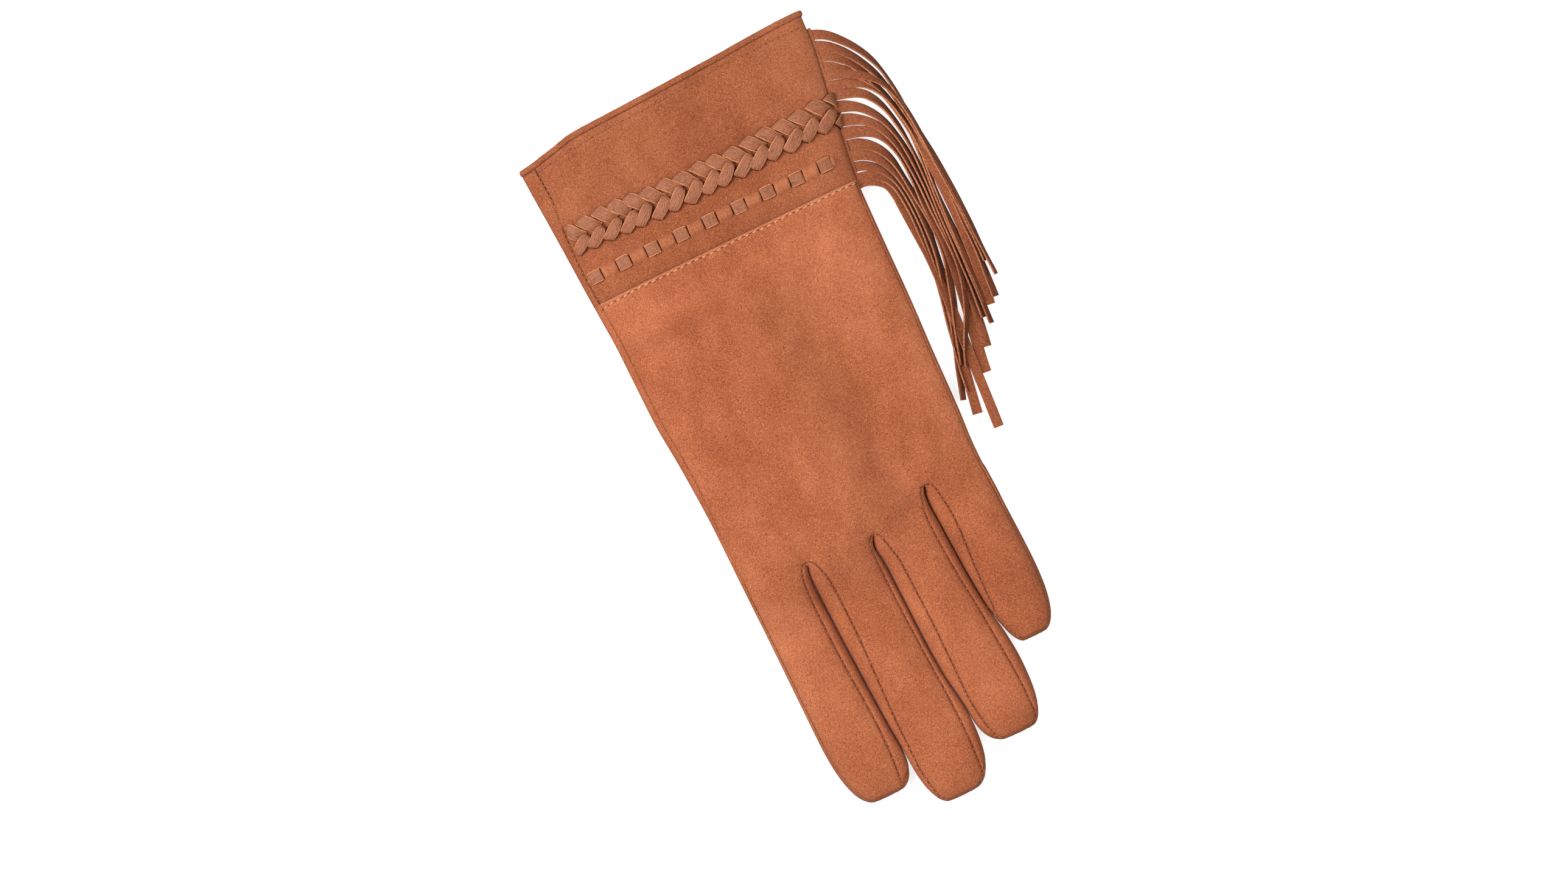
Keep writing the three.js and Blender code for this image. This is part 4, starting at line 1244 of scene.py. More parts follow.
def make_cuff_back():
    mesh = bmesh.new()
    darker = mesh.verts.layers.float.new("darker")
    bmesh.ops.create_grid(mesh, x_segments=CUFF_COLUMNS, y_segments=CUFF_ROWS, size=0.5)

    def cell(vert):
        return round((vert.co.x + 0.5) * CUFF_COLUMNS), round((vert.co.y + 0.5) * CUFF_ROWS)

    def on_slit(edge):
        (column, row), (other_column, other_row) = (cell(vert) for vert in edge.verts)
        inside = SLIT_ROWS[0] <= min(row, other_row) and max(row, other_row) <= SLIT_ROWS[1]
        return column == other_column and column in SLITS and inside

    bmesh.ops.split_edges(mesh, edges=[edge for edge in mesh.edges if on_slit(edge)])
    places = {}
    for vert in mesh.verts:
        column, row = cell(vert)
        middle = sum(face.calc_center_median().x for face in vert.link_faces) / len(vert.link_faces)
        towards = middle - vert.co.x
        if column in SLITS:
            on_dash = towards * SLITS[column] > 1e-6
        else:
            on_dash = column < len(STATIONS) and (column - 1) % (2 * STEPS) < STEPS and column > 0
        places[vert] = cuff_point(column, row, on_dash)
        # Painted highlight: below 0, the attribute paints the suede over the hidden lace paler.
        vert[darker] = -max(lace_relief(places[vert].x, places[vert].y, on_dash), 0.0)
    for vert, place in places.items():
        vert.co = place
    finish_piece("cuff_upper_side", mesh, [CUFF_SUEDE], LEATHER_WALL, "cuff_back")
    print("slits for the lace:", len(SLITS))


make_cuff_back()

# %% [markdown]
# The palm side of the cuff takes the rest of the way round: from the fringe's seam, under the cuff,
# round the index finger's edge and up to the side seam on the back. It is plain, and lies flat on the
# table, so one sheet that runs round the section is enough.

# %% The cuff's palm side
PALM_CUFF_FOOT = WRIST_Y - 0.2
PALM_CUFF_COLUMNS = 90
PALM_CUFF_ROWS = 50


def cuff_palm_point(across, along):
    y = lerp(PALM_CUFF_FOOT, 52.0, along)  # nearly the level that the point gets below
    left, right, top = hand_row(y)
    start = angle_at(side_seam_x(y), left, right, HAND_POWER)
    drop = (top * BELLY - HEADER_Z + HEADER_HALF) / (top * BELLY * UNDERSIDE)
    angle = lerp(start, FULL_TURN - math.asin(drop ** (HAND_POWER / 2)), across)
    x, z = hand_ring(y, angle)
    y = lerp(PALM_CUFF_FOOT, hem_y(x) - BINDING_WIDTH, along)
    if angle < math.pi:
        hem_away = hem_y(x) - BINDING_WIDTH - y
        z += seam_roll(min(abs(x - side_seam_x(y)), hem_away + HEM_SEAM_FLAT))
    return Vector((x, y, max(z, 0)))


def make_cuff_palm():
    mesh = bmesh.new()
    place = lambda a, k: cuff_palm_point(crowd_ends(a, evenness=0.4), k)
    add_sheet(mesh, PALM_CUFF_COLUMNS, PALM_CUFF_ROWS, place, flip=True)
    finish_piece("cuff_palm_side", mesh, [CUFF_SUEDE], LEATHER_WALL, "cuff_palm")


make_cuff_palm()

# %% [markdown]
# The hem is bound with a narrow strip of the same suede, folded over the edge of both sides. Its
# section is a flattened loop: up the outside, over the top and down the inside. A sheet rolled both
# round the mouth and round that loop, and welded, is closed and has the strip's real thickness. A
# curve with a round bevel would be quicker, but neither flat nor gathered like a sewn strip.

# %% The hem binding
BINDING_PROUD = 0.4
BINDING_HALF_WALL = 0.85
BINDING_POWERS = (0.85, 0.8)  # below 1, they square the loop's section, across and up
UPPER_GATHER, SEWN_GATHER = 0.05, 0.16  # how far the gathers pull its free and its sewn edge
BINDING_UNEVEN = 0.12
BINDING_LEVEL = 55.0  # the level whose section the loop follows
BINDING_LOOP = 16
BINDING_AROUND = 260


def binding_point(around, loop):
    turn = loop * FULL_TURN
    outwards, upwards = math.cos(turn), math.sin(turn)
    proud = BINDING_PROUD - BINDING_HALF_WALL * (1 - signed_power(outwards, BINDING_POWERS[0]))
    level = signed_power(upwards, BINDING_POWERS[1])
    left, right, top = hand_row(BINDING_LEVEL)
    x, z = ring_point(left - proud, right + proud, top + proud, HAND_POWER, around * FULL_TURN)
    middle = hem_y(x) - BINDING_WIDTH / 2
    gather = noise.noise(Vector((x / 1.2, 3.3 if z > top / 2 else 7.7, 0)))
    pull = SEWN_GATHER if level < 0 else UPPER_GATHER
    y = middle + level * (BINDING_WIDTH / 2 - 0.05) + pull * gather
    left_here, right_here, _ = hand_row(y)
    edge = right_here - right if x > 0 else left_here - left
    share = abs(2 * x - left - right) / (right - left)
    uneven = BINDING_UNEVEN * (waves(x, y, size=6, height=1) + gather)
    return Vector((x + edge * share**3, y, max(z + uneven, -proud, 0.0)))


def make_hem_binding():
    mesh = bmesh.new()
    add_sheet(mesh, BINDING_AROUND, BINDING_LOOP, binding_point, flip=True)
    weld(mesh)
    bmesh.ops.recalc_face_normals(mesh, faces=mesh.faces)
    finish_piece("hem_strip", mesh, [CUFF_SUEDE], replaces="hem_binding")


make_hem_binding()

# %% [markdown]
# The running lace is one flat strip of smooth leather. It lies on the cuff for one dash, dives through
# a slit and runs behind the suede to the next. Its sheet follows that path, with UVs in millimetres
# for the grain, a thickness, a rounded edge and a pale cut rim. Nine short pieces would be simpler,
# but their ends would show in the slits.

# %% The running lace
LACE_WALL = 0.7
LACE_ROUND_EDGE = 0.14
LACE_TOP = 0.55  # of the strip's face over the cuff, at the ends of a dash
LACE_BOW = 0.22  # how much higher its middle is
LACE_CROWN = 0.16
LACE_DRIFT = 0.12  # of the dashes from a straight line
LACE_OVERHANG = 0.1  # of the strip past its first and last dash
LACE_UNDER = -1.5
LACE_COLUMNS = 10
LACE_STEPS = 24  # rows of the sheet to half the way from one dash to the next


def lace_level(x):
    """Height of the strip's face over the cuff's surface."""
    place = abs(((x - LACE_FIRST_X) / LACE_PITCH + 0.5) % 1 - 0.5) * LACE_PITCH
    half = LACE_DASH / 2
    if place > half:
        return LACE_UNDER
    bow = LACE_TOP + LACE_BOW * (1 - (place / half) ** 2)
    return lerp(bow, LACE_UNDER, ease(half - 0.55, half + 0.05, place) ** 1.5)


def lace_point(across, along):
    first = LACE_FIRST_X - LACE_DASH / 2 - LACE_OVERHANG
    last = LACE_FIRST_X + (LACE_DASHES - 1) * LACE_PITCH + LACE_DASH / 2 + LACE_OVERHANG
    x = lerp(first, last, along)
    dash = round((x - LACE_FIRST_X) / LACE_PITCH)
    drift = LACE_DRIFT * math.sin(dash * 2.3)
    place = min(abs(x - LACE_FIRST_X - dash * LACE_PITCH) / (LACE_DASH / 2), 1.0)
    waist = 1.03 - 0.3 * place**5
    across = crowd_ends(across, evenness=0.4)
    y = LACE_Y + drift + (across - 0.5) * LACE_WIDTH * waist
    crown = LACE_CROWN * arch_over(across)
    return Vector((x, y, hand_height(x, LACE_Y) + lace_level(x) + crown))


def make_lace():
    mesh = bmesh.new()
    rows = (LACE_DASHES - 1) * LACE_STEPS * 2 + LACE_STEPS
    length = (LACE_DASHES - 1) * LACE_PITCH + LACE_DASH
    mapped = lambda a, k: (k * length, a * LACE_WIDTH)
    add_sheet(mesh, LACE_COLUMNS, rows, lace_point, flip=True, uv=mapped, edge_finish=1)
    finishes = [LEATHER, CUT_EDGE]
    finish_piece("lace_strip", mesh, finishes, LACE_WALL, "running_lace", LACE_ROUND_EDGE)


make_lace()

# %% [markdown]
# The plait is three flat straps. Woven as long strips they would have to turn over at every edge and
# pass one another without touching, and most of that would never be seen. Seen from above each shows in
# short lengths: one comes out of a fold at the upper edge and falls to the middle, the next out of a
# fold at the lower edge and rises to the middle over the first one's end. So one falling and one rising
# length are drawn as tables and repeated along the band, no two quite alike. Their outer columns are
# the pale cut edge, and the first row at a fold is painted nearly black as the shade inside the fold.
# At the fringe's side the band goes over the cuff's edge, so it is laid on the section's own curve,
# measured along it.

# %% The plait
BRAID_START, BRAID_END = -46.5, 53.4  # along the cuff's surface from its middle
STRAP_WALL = 0.7
STRAP_ROUND_EDGE = 0.08
STRAP_COLUMNS, STRAP_ROWS = 10, 30
STRAP_LENGTH, STRAP_WIDTH = 7.6, 4.2  # of its patch of grain
STRAP_RAISED = 0.25
STRAP_CROWN = 0.2
# Each length gets a patch of grain of its own: so far from the last one's, and a rising one's from a
# falling one's
PATCH_ALONG, PATCH_ACROSS = 9, 50
# The left corner of each fold: distance along the surface and y
UPPER_FOLDS = [
    (-48.2, 27.6), (-42.4, 27.8), (-36.4, 28.3), (-31.0, 28.1), (-25.5, 27.7), (-19.8, 27.2),
    (-13.6, 27.1), (-7.6, 26.9), (-1.5, 27.4), (4.1, 27.2), (10.5, 27.0), (16.7, 27.5),
    (22.7, 28.1), (28.7, 27.9), (34.8, 28.2), (41.3, 29.1), (47.9, 28.9),
]
LOWER_FOLDS = [
    (-47.5, 19.6), (-41.8, 19.4), (-35.9, 19.4), (-30.0, 19.0), (-24.9, 18.9), (-18.8, 18.6),
    (-13.2, 18.9), (-7.1, 18.6), (-0.9, 19.1), (4.7, 19.1), (11.2, 19.3), (16.7, 19.4),
    (22.7, 20.0), (29.0, 19.9), (35.3, 20.5), (41.4, 20.8), (48.1, 20.3),
]
# Rows along one length from its fold, at 0, to where it goes under, at 1: the two edges as x and y from
# the fold's left corner, and the height of the face
FALLING = make_table(
    "at x0 y0 x1 y1 z",
    (0.0, 0.02, 0.1, 3.45, 1.5, -0.1),
    (0.018, 0.0, 0.0, 3.65, 1.4, 0.4),
    (0.06, 0.05, -0.3, 3.95, 1.3, 0.95),
    (0.14, 0.3, -0.85, 4.35, 1.1, 1.2),
    (0.3, 0.95, -1.6, 5.0, 0.6, 1.35),
    (0.5, 2.0, -2.9, 6.1, -0.55, 1.4),
    (0.7, 3.3, -4.2, 7.0, -2.0, 1.2),
    (1.0, 4.9, -5.8, 8.6, -3.7, 0.2),
)
RISING = make_table(
    "at x0 y0 x1 y1 z",
    (0.0, 2.5, -2.25, 0.0, -0.12, -0.1),
    (0.018, 2.7, -2.15, 0.0, 0.0, 0.4),
    (0.06, 3.0, -2.05, 0.15, 0.3, 0.95),
    (0.14, 3.7, -1.65, 0.7, 0.85, 1.25),
    (0.4, 5.6, -0.3, 3.05, 2.9, 1.6),
    (0.65, 7.0, 1.2, 4.85, 4.3, 1.9),
    (0.84, 7.9, 2.6, 6.3, 5.0, 1.75),
    (0.94, 8.15, 3.3, 7.5, 4.8, 1.1),
    (1.0, 8.05, 3.7, 7.9, 4.3, -0.4),
)
# The cuff's section is stepped through from left to right, by angle
SKIN_START = math.radians(170)
SKIN_STEP = math.radians(1.0)
SKIN_STEPS = 211
skins = {}  # sections already worked out, by their level


def skin_at(y):
    """The cuff's section as points with their distance along it from the middle of the back."""
    key = round(y, 1)
    if key not in skins:
        points = [hand_ring(key, SKIN_START - step * SKIN_STEP) for step in range(SKIN_STEPS)]
        lengths = [0.0]
        for (x0, z0), (x1, z1) in zip(points, points[1:]):
            lengths.append(lengths[-1] + math.hypot(x1 - x0, z1 - z0))
        i = next(i for i, (x, _) in enumerate(points) if x > 0)
        share = points[i - 1][0] / (points[i - 1][0] - points[i][0])
        zero = lerp(lengths[i - 1], lengths[i], share)
        skins[key] = [(length - zero, *point) for length, point in zip(lengths, points)]
    return skins[key]


def on_skin(distance, y, out):
    """A point over the cuff's surface, by its distance along the section and its height over it."""
    skin = skin_at(y)
    i = next((i for i, row in enumerate(skin) if row[0] > distance), len(skin) - 1)
    (d0, x0, z0), (d1, x1, z1) = skin[i - 1], skin[i]
    share = (distance - d0) / (d1 - d0)
    run, rise = x1 - x0, z1 - z0
    length = math.hypot(run, rise)
    x = lerp(x0, x1, share) - out * rise / length
    return Vector((x, y, lerp(z0, z1, share) + out * run / length))


def strap_point(table, number, across, along):
    """A point of one visible length of strap. Its numbered place along the band sets its quirks.

    The table's outline is slimmed, turned and, for the first rising ones, shortened a little. Then the
    fold's corner is rounded off, the edges waver, and the face gets its crown, rims and ripples.
    """
    rising = table is RISING
    fold_x, fold_y = (LOWER_FOLDS if rising else UPPER_FOLDS)[number]
    quirk = number * 2.4 + (5 if rising else 0)
    across, along = crowd_ends(across, evenness=0.5), crowd_ends(along, evenness=0.5)
    x0, y0, x1, y1 = (read(table, "at", column, along) for column in ("x0", "y0", "x1", "y1"))
    slim = 0.03 + 0.03 * math.sin(quirk * 3.1)
    x, y = lerp(x0, x1, lerp(slim, 1, across)), lerp(y0, y1, lerp(slim, 1, across))
    turn = 0.03 * math.sin(quirk) - (0.012 * max(number - 6, 0) if rising else 0)
    short = 1 - 0.03 * max(6 - number, 0) if rising else 1
    x, y = x - turn * y, (y + turn * x) * short
    round_off = 0.22 * arch_over(across) * (1 - ease(0.02, 0.2, along))
    x, y = x - round_off * (0.65 if rising else 0.46), y + round_off * (-0.76 if rising else 0.89)
    x += 0.1 * noise.noise(Vector((y / 1.5, quirk, 0)))
    y += 0.1 * noise.noise(Vector((x / 1.5, quirk, 5)))
    distance = fold_x + x
    rim = -0.16 * max(0.0, (abs(2 * across - 1) - 0.86) / 0.14)
    crown = STRAP_CROWN * arch_over(across) + rim
    tilt = (0.34 if rising else 0.2) * (across - 0.5)
    ripple = 0.1 * noise.noise(Vector((x / 1.1, y / 1.1, quirk))) * ease(0.05, 0.3, along)
    height = read(table, "at", "z", along) + crown + tilt + ripple + 0.08 * math.sin(quirk * 1.3)
    if distance < BRAID_START + 1.5:
        height = min(height, 1.1 * (distance - BRAID_START) - 0.4)
    return on_skin(min(max(distance, BRAID_START), BRAID_END), fold_y + y, height + STRAP_RAISED)


def add_strap(mesh, table, number):
    start_u, start_v = PATCH_ALONG * number, PATCH_ACROSS if table is RISING else 0
    place = lambda a, k: strap_point(table, number, a, k)
    mapped = lambda a, k: (k * STRAP_LENGTH + start_u, a * STRAP_WIDTH + start_v)
    columns, rows = STRAP_COLUMNS, STRAP_ROWS
    add_sheet(mesh, columns, rows, place, flip=True, uv=mapped, edge_finish=2, fold_finish=1)


def make_plait():
    mesh = bmesh.new()
    for number in range(len(UPPER_FOLDS)):
        add_strap(mesh, FALLING, number)
        add_strap(mesh, RISING, number)
    # The second finish is painted shade in the folds.
    finishes = [LEATHER, STRAP_FOLD_PAINTED_SHADE, CUT_EDGE]
    finish_piece("plait", mesh, finishes, STRAP_WALL, "braid", STRAP_ROUND_EDGE)


make_plait()

# %% [markdown]
# The fringe is a row of fifteen strips cut from one piece whose uncut edge is sewn into the cuff's
# seam. Each leaves the seam flat, tips up on its outer edge to go round its bend, and most hang on
# edge beside the others until a few lie down flat at their ends. A cloth simulation would drape such
# strips, but not as these ones lie. So each has its own path, read from the photograph: x, y, how far
# it is tipped up in degrees, and its height.

# %% Paths of the fringe's strips
STRIPS = [
    [(52.8, 50.4, 0, 5.3), (58, 48.2, 15, 4.4), (63, 43.5, 35, 3.2), (67, 37.8, 55, 2.4),
     (69.8, 31, 68, 2.0), (71.3, 22, 74, 1.9), (72.1, 12, 72, 1.9), (72.9, 1, 66, 1.8),
     (73.8, -12, 55, 1.7), (74.2, -25, 62, 1.8), (74.3, -37, 70, 1.8), (74.6, -46.5, 72, 1.7)],
    [(52.6, 46.6, 0, 5.3), (58, 43.8, 18, 4.2), (63, 38.6, 40, 3.0), (67, 31.6, 58, 2.2),
     (69.4, 24, 66, 2.0), (70.9, 14, 70, 1.9), (71.8, 4, 74, 1.9), (72.6, -8, 76, 1.9),
     (73.3, -20, 76, 1.8), (73.3, -32, 74, 1.7), (73.2, -41, 70, 1.6)],
    [(52.4, 42.9, 0, 5.3), (57, 41, 12, 4.5), (61, 37.5, 30, 3.5), (64, 32.5, 48, 2.6),
     (66.3, 26, 60, 2.2), (68.3, 18, 60, 2.2), (69.9, 9, 50, 2.6), (70.9, -1, 25, 3.4),
     (71.2, -13, 6, 3.4), (71, -27, 4, 2.8), (70.2, -41, 8, 1.8), (68.4, -54.6, 6, 0.9)],
    [(52.0, 39.4, 0, 5.3), (55.5, 37.7, 10, 4.6), (58.5, 35.3, 25, 3.9), (61.5, 32.6, 38, 3.2),
     (64.6, 28.8, 52, 2.6), (67, 24, 62, 2.2), (68.8, 17.5, 68, 2.0), (69.6, 9, 72, 1.9),
     (69.3, -2, 74, 1.9), (68.2, -14, 72, 1.8), (67.7, -28, 70, 1.8), (67.2, -42, 66, 1.7),
     (66.7, -52, 62, 1.6), (66.2, -60.3, 58, 1.4)],
    [(51.6, 36, 0, 5.3), (55.5, 35, 8, 4.9), (59.3, 33.4, 20, 4.4), (63, 31.2, 32, 4.0),
     (66.5, 28.2, 45, 3.8), (69, 24.5, 55, 3.6), (70.9, 19, 62, 3.3), (72, 12, 66, 2.8),
     (72.5, 4, 66, 2.4), (72.6, -8, 70, 1.9), (72.5, -22, 70, 1.8), (72.3, -36, 60, 1.6),
     (71.8, -45, 50, 1.4), (71.2, -53, 42, 1.2)],
    [(51.2, 32.7, 0, 5.3), (55, 31.6, 6, 4.9), (59, 30.2, 16, 4.4), (62.5, 28.6, 30, 3.8),
     (65.3, 25.6, 45, 3.4), (67.6, 21.2, 56, 3.1), (69.2, 15.5, 64, 2.8), (70.3, 8, 68, 2.6),
     (70.1, -1, 70, 2.5), (69.1, -11, 66, 2.4), (68.6, -22, 60, 2.3), (68.3, -34, 56, 2.1),
     (67.9, -45, 50, 1.9), (67.6, -53, 45, 1.6)],
    [(50.8, 29.3, 0, 5.3), (55, 28.3, 8, 4.8), (59, 26.8, 20, 4.2), (62, 24.6, 34, 3.6),
     (64.6, 20.6, 48, 3.0), (66.3, 15.4, 58, 2.6), (67.4, 8, 66, 2.3), (67.7, -2, 70, 2.1),
     (67.2, -14, 68, 2.0), (66.8, -27, 64, 1.9), (66.1, -40, 62, 1.8), (65.4, -50, 60, 1.6),
     (64.9, -57.5, 56, 1.4)],
    [(50.3, 25.5, 0, 5.0), (54, 24.3, 10, 4.2), (57.5, 22.4, 22, 3.6), (60.5, 19.4, 36, 3.0),
     (63, 15.4, 50, 2.6), (64.9, 9.8, 60, 2.2), (66, 3, 66, 2.1), (66.3, -6, 68, 2.0),
     (66.1, -18, 66, 1.9), (65.8, -30, 60, 1.8), (65.1, -41, 48, 1.6), (63.8, -51, 36, 1.3),
     (62.5, -59, 24, 1.0), (61.2, -66.5, 14, 0.8)],
    [(49.7, 20.9, 0, 5.3), (54, 19.4, 6, 4.8), (58, 16.9, 18, 4.2), (61, 13.4, 34, 3.6),
     (63.2, 8.6, 48, 3.0), (64.5, 2, 58, 2.6), (64.9, -7, 64, 2.4), (65.0, -18, 66, 2.3),
     (65.2, -28, 64, 2.3), (64.9, -36, 62, 2.5), (63.9, -43, 58, 2.8), (61.9, -49.5, 56, 3.2),
     (59.4, -55, 56, 3.4), (56.6, -60.5, 58, 3.2), (54.4, -65.5, 60, 2.6), (52.9, -69.7, 62, 2.0)],
    [(49.0, 16.4, 0, 5.3), (53, 15.4, 4, 4.9), (57, 13.6, 12, 4.4), (60, 11.2, 28, 3.8),
     (62.1, 7.4, 44, 3.2), (63.3, 2, 56, 2.7), (63.6, -6, 60, 2.4), (63.5, -14, 54, 2.3),
     (63.7, -22, 44, 2.2), (63.9, -29, 36, 2.1), (63.2, -36, 28, 2.0), (62.1, -44, 20, 1.8),
     (60.9, -52, 14, 1.6), (59.6, -60, 10, 1.3), (58.5, -67, 8, 1.0), (57.6, -74, 5, 0.8)],
    [(48.4, 12.2, 0, 5.0), (52.5, 11.2, 8, 4.2), (56, 9, 22, 3.6), (58.8, 5.4, 38, 3.0),
     (60.5, 0.8, 52, 2.5), (61.4, -6, 62, 2.2), (62.0, -13, 64, 2.0), (62.7, -20, 62, 1.9),
     (62.8, -28, 60, 1.9), (61.9, -35, 58, 2.1), (60.3, -41, 54, 2.4), (58.4, -47.5, 52, 2.6),
     (56.2, -54, 54, 2.6), (54, -61, 56, 2.3), (51.7, -68.5, 58, 1.8)],
    [(47.8, 8.6, 0, 5.3), (51, 8, 6, 4.8), (54.5, 5.9, 20, 4.2), (57.3, 2.3, 36, 3.5),
     (59.3, -2.5, 50, 2.9), (60.3, -8.5, 58, 2.6), (60.9, -16, 60, 2.4), (60.9, -24, 58, 2.2),
     (60, -32, 54, 2.1), (58.3, -41, 50, 1.9), (55.8, -51, 48, 1.8), (52.8, -61, 50, 1.6),
     (49.7, -70, 54, 1.5), (46.8, -79, 56, 1.4)],
    [(47.3, 5.1, 0, 5.0), (50.5, 4.3, 8, 4.3), (54, 2, 24, 3.6), (56.8, -1.2, 40, 3.0),
     (58.6, -5.5, 54, 2.5), (59.4, -11, 60, 2.2), (59.7, -18, 62, 2.0), (59.5, -26, 60, 1.9),
     (58.4, -36, 54, 1.9), (56.3, -48, 44, 1.9), (53.8, -60, 32, 1.7), (51.3, -72, 18, 1.3),
     (49, -85, 5, 0.7)],
    [(46.9, 1.6, 0, 5.3), (50, 1, 6, 4.9), (53.4, -0.8, 20, 4.3), (56, -3.2, 36, 3.6),
     (57.7, -7, 48, 3.0), (58.3, -13, 56, 2.6), (58.4, -20, 58, 2.3), (58.1, -28, 58, 2.1),
     (57.1, -37, 56, 2.0), (55.2, -47, 56, 1.9), (53, -58, 58, 1.8), (51, -69, 58, 1.7),
     (49.9, -77, 56, 1.5)],
    [(46.6, -0.7, 0, 5.3), (50, -1.4, 4, 5.0), (53, -2.7, 14, 4.6), (55.2, -4.9, 28, 4.0),
     (56.2, -9, 34, 3.5), (56.5, -15, 30, 3.1), (56.8, -23, 30, 2.8), (57, -32, 34, 2.8),
     (56.8, -42, 34, 2.9), (56.2, -52, 26, 2.9), (55.5, -62, 14, 2.6), (54.8, -71, 6, 1.9),
     (54.1, -81, 3, 1.1), (53.3, -91.8, 0, 0.6)],
]
longest = max(sum(math.dist(a[:2], b[:2]) for a, b in zip(path, path[1:])) for path in STRIPS)
print("longest strip in mm:", round(longest))

# %% [markdown]
# A strip is a sheet laid along its path, which runs as a smooth curve through the noted places. The
# sheet sways, curls and narrows a little on its way, as thin suede does. How far it is tipped on its
# edge is kept as an attribute of its points, from which painted shade is put on it, as a strip on edge
# turns its face away from the light. The uncut edge is one more sheet, hidden in the cuff's seam.

# %% The fringe
STRIP_WIDTH = 3.3
STRIP_WALL = 0.62
STRIP_ROUND_EDGE = 0.1
STRIP_COLUMNS, STRIP_ROWS = 5, 110
STEPS_BETWEEN = 8  # places on the curve from one noted place to the next
SWAY = 16  # degrees
CURL = 0.22
CUFF_EDGE_ENDS = (53.5, -3.0)  # the cuff's y above its first strip and below its last
ROOT_GAP = 0.12
HEADER_ENDS = (-2.2, 52.2)
HEADER_SIDES = (4.0, -0.9)  # how far inside the cuff's edge its two sides lie
HEADER_COLUMNS, HEADER_ROWS = 3, 40


def path_places(path):
    """A smooth curve through a path's points, as many short steps with their distance along it."""
    points = [Vector(point) for point in path]
    points = [points[0] * 2 - points[1], *points, points[-1] * 2 - points[-2]]
    places, travelled = [], 0.0
    for a, b, c, d in zip(points, points[1:], points[2:], points[3:]):
        square, cube = a * 2 - b * 5 + c * 4 - d, b * 3 - a - c * 3 + d
        for step in range(STEPS_BETWEEN):
            t = step / STEPS_BETWEEN
            place = (b * 2 + (c - a) * t + square * t**2 + cube * t**3) / 2
            if places:
                travelled += (place.xy - places[-1][1].xy).length
            places.append((travelled, place))
    end = points[-2]
    places.append((travelled + (end.xy - places[-1][1].xy).length, end))
    return places


PATHS = [path_places(path) for path in STRIPS]
ROOTS_Y = [CUFF_EDGE_ENDS[0], *(path[0][1] for path in STRIPS), CUFF_EDGE_ENDS[1]]
ROOT_WIDTHS = [(above - below) / 2 - ROOT_GAP for above, below in zip(ROOTS_Y, ROOTS_Y[2:])]


def strip_point(number, across, along):
    places = PATHS[number]
    distance = along * places[-1][0]
    i = next((i for i in range(1, len(places)) if places[i][0] >= distance), len(places) - 1)
    share = (distance - places[i - 1][0]) / (places[i][0] - places[i - 1][0])
    place = places[i - 1][1].lerp(places[i][1], share)
    run = places[min(i + 1, len(places) - 1)][1].xy - places[max(i - 2, 0)][1].xy
    run.normalize()
    out = Vector((-run.y, run.x))
    sway = SWAY * noise.noise(Vector((distance / 13, number * 3.3, 0)))
    roll = math.radians(place.z + sway * ease(8, 30, distance))
    width = lerp(ROOT_WIDTHS[number], STRIP_WIDTH, ease(1, 10, distance))
    width *= 1 - 0.04 * math.sin(distance / 6 + number)
    side = (across - 0.5) * width
    curl = CURL * arch_over(across) * math.sin(distance / 11 + number * 1.7)
    sideways = side * math.cos(roll) + curl * math.sin(roll)
    upwards = curl * math.cos(roll) - side * math.sin(roll)
    low = width / 2 * math.sin(roll) + STRIP_WALL * math.cos(roll) / 2 + 0.06
    height = max(place.w, low) + upwards
    return Vector((place.x + out.x * sideways, place.y + out.y * sideways, height + STRIP_WALL / 2))


def make_fringe():
    mesh = bmesh.new()
    darker = mesh.verts.layers.float.new("darker")
    for number in range(len(STRIPS)):
        place = lambda a, k, n=number: strip_point(n, a, k)
        verts = add_sheet(mesh, STRIP_COLUMNS, STRIP_ROWS, place, flip=True)
        across = STRIP_COLUMNS + 1
        for start in range(0, len(verts), across):
            row = verts[start : start + across]
            width = row[-1].co - row[0].co
            for vert in row:
                # Painted shade: the more a row is tipped on edge, the more shade is painted on it.
                vert[darker] = 1 - min(width.xy.length / width.length, 1.0)

    def header_point(across, along):
        y = lerp(*HEADER_ENDS, along)
        return Vector((right_edge_x(y) - lerp(*HEADER_SIDES, across), y, HEADER_Z + STRIP_WALL / 2))

    add_sheet(mesh, HEADER_COLUMNS, HEADER_ROWS, header_point)
    finishes = [FRINGE_SUEDE, RAW_EDGE]
    finish_piece("fringe_strips", mesh, finishes, STRIP_WALL, "fringe", STRIP_ROUND_EDGE)


make_fringe()

# %% [markdown]
# Stitches are the smallest parts that still have a shape. Each is a ball of twenty faces, stretched
# along its seam, because there are over a thousand of them. The wrist has pale slanting ones and the
# hem tan ones, and between each two a small dark ball is painted shade for the needle hole. The
# grooves of the hand's seams and of the binding show only dark dots. Between the dots the suede is
# drawn up in small uneven ridges. They are made in the same way, larger, further apart and in suede.

# %% Stitches
UP = Vector((0, 0, 1))
WRIST_PITCH = 2.6
HEM_PITCH = 2.3
BINDING_PITCH = 1.15
SEAM_PITCH = 0.8
PUCKER_PITCH = 1.7
WALK_STEPS = 600
STITCH_RISE = 0.16  # how much a stitch climbs, as a share of its length
STITCH_JITTER = 0.1
GROOVE_DEPTH = SEAM_ROLL_DEPTH * 0.8


def add_stitch(mesh, middle, along, length, thickness):
    """A stretched ball along a direction, in a mesh that holds many."""
    made = bmesh.ops.create_icosphere(mesh, subdivisions=1, radius=1)
    along = along.normalized()
    sideways = UP.cross(along).normalized()
    up = along.cross(sideways)
    for vert in made["verts"]:
        co = vert.co.copy()
        vert.co = middle + along * co.x * length / 2 + (sideways * co.y + up * co.z) * thickness / 2


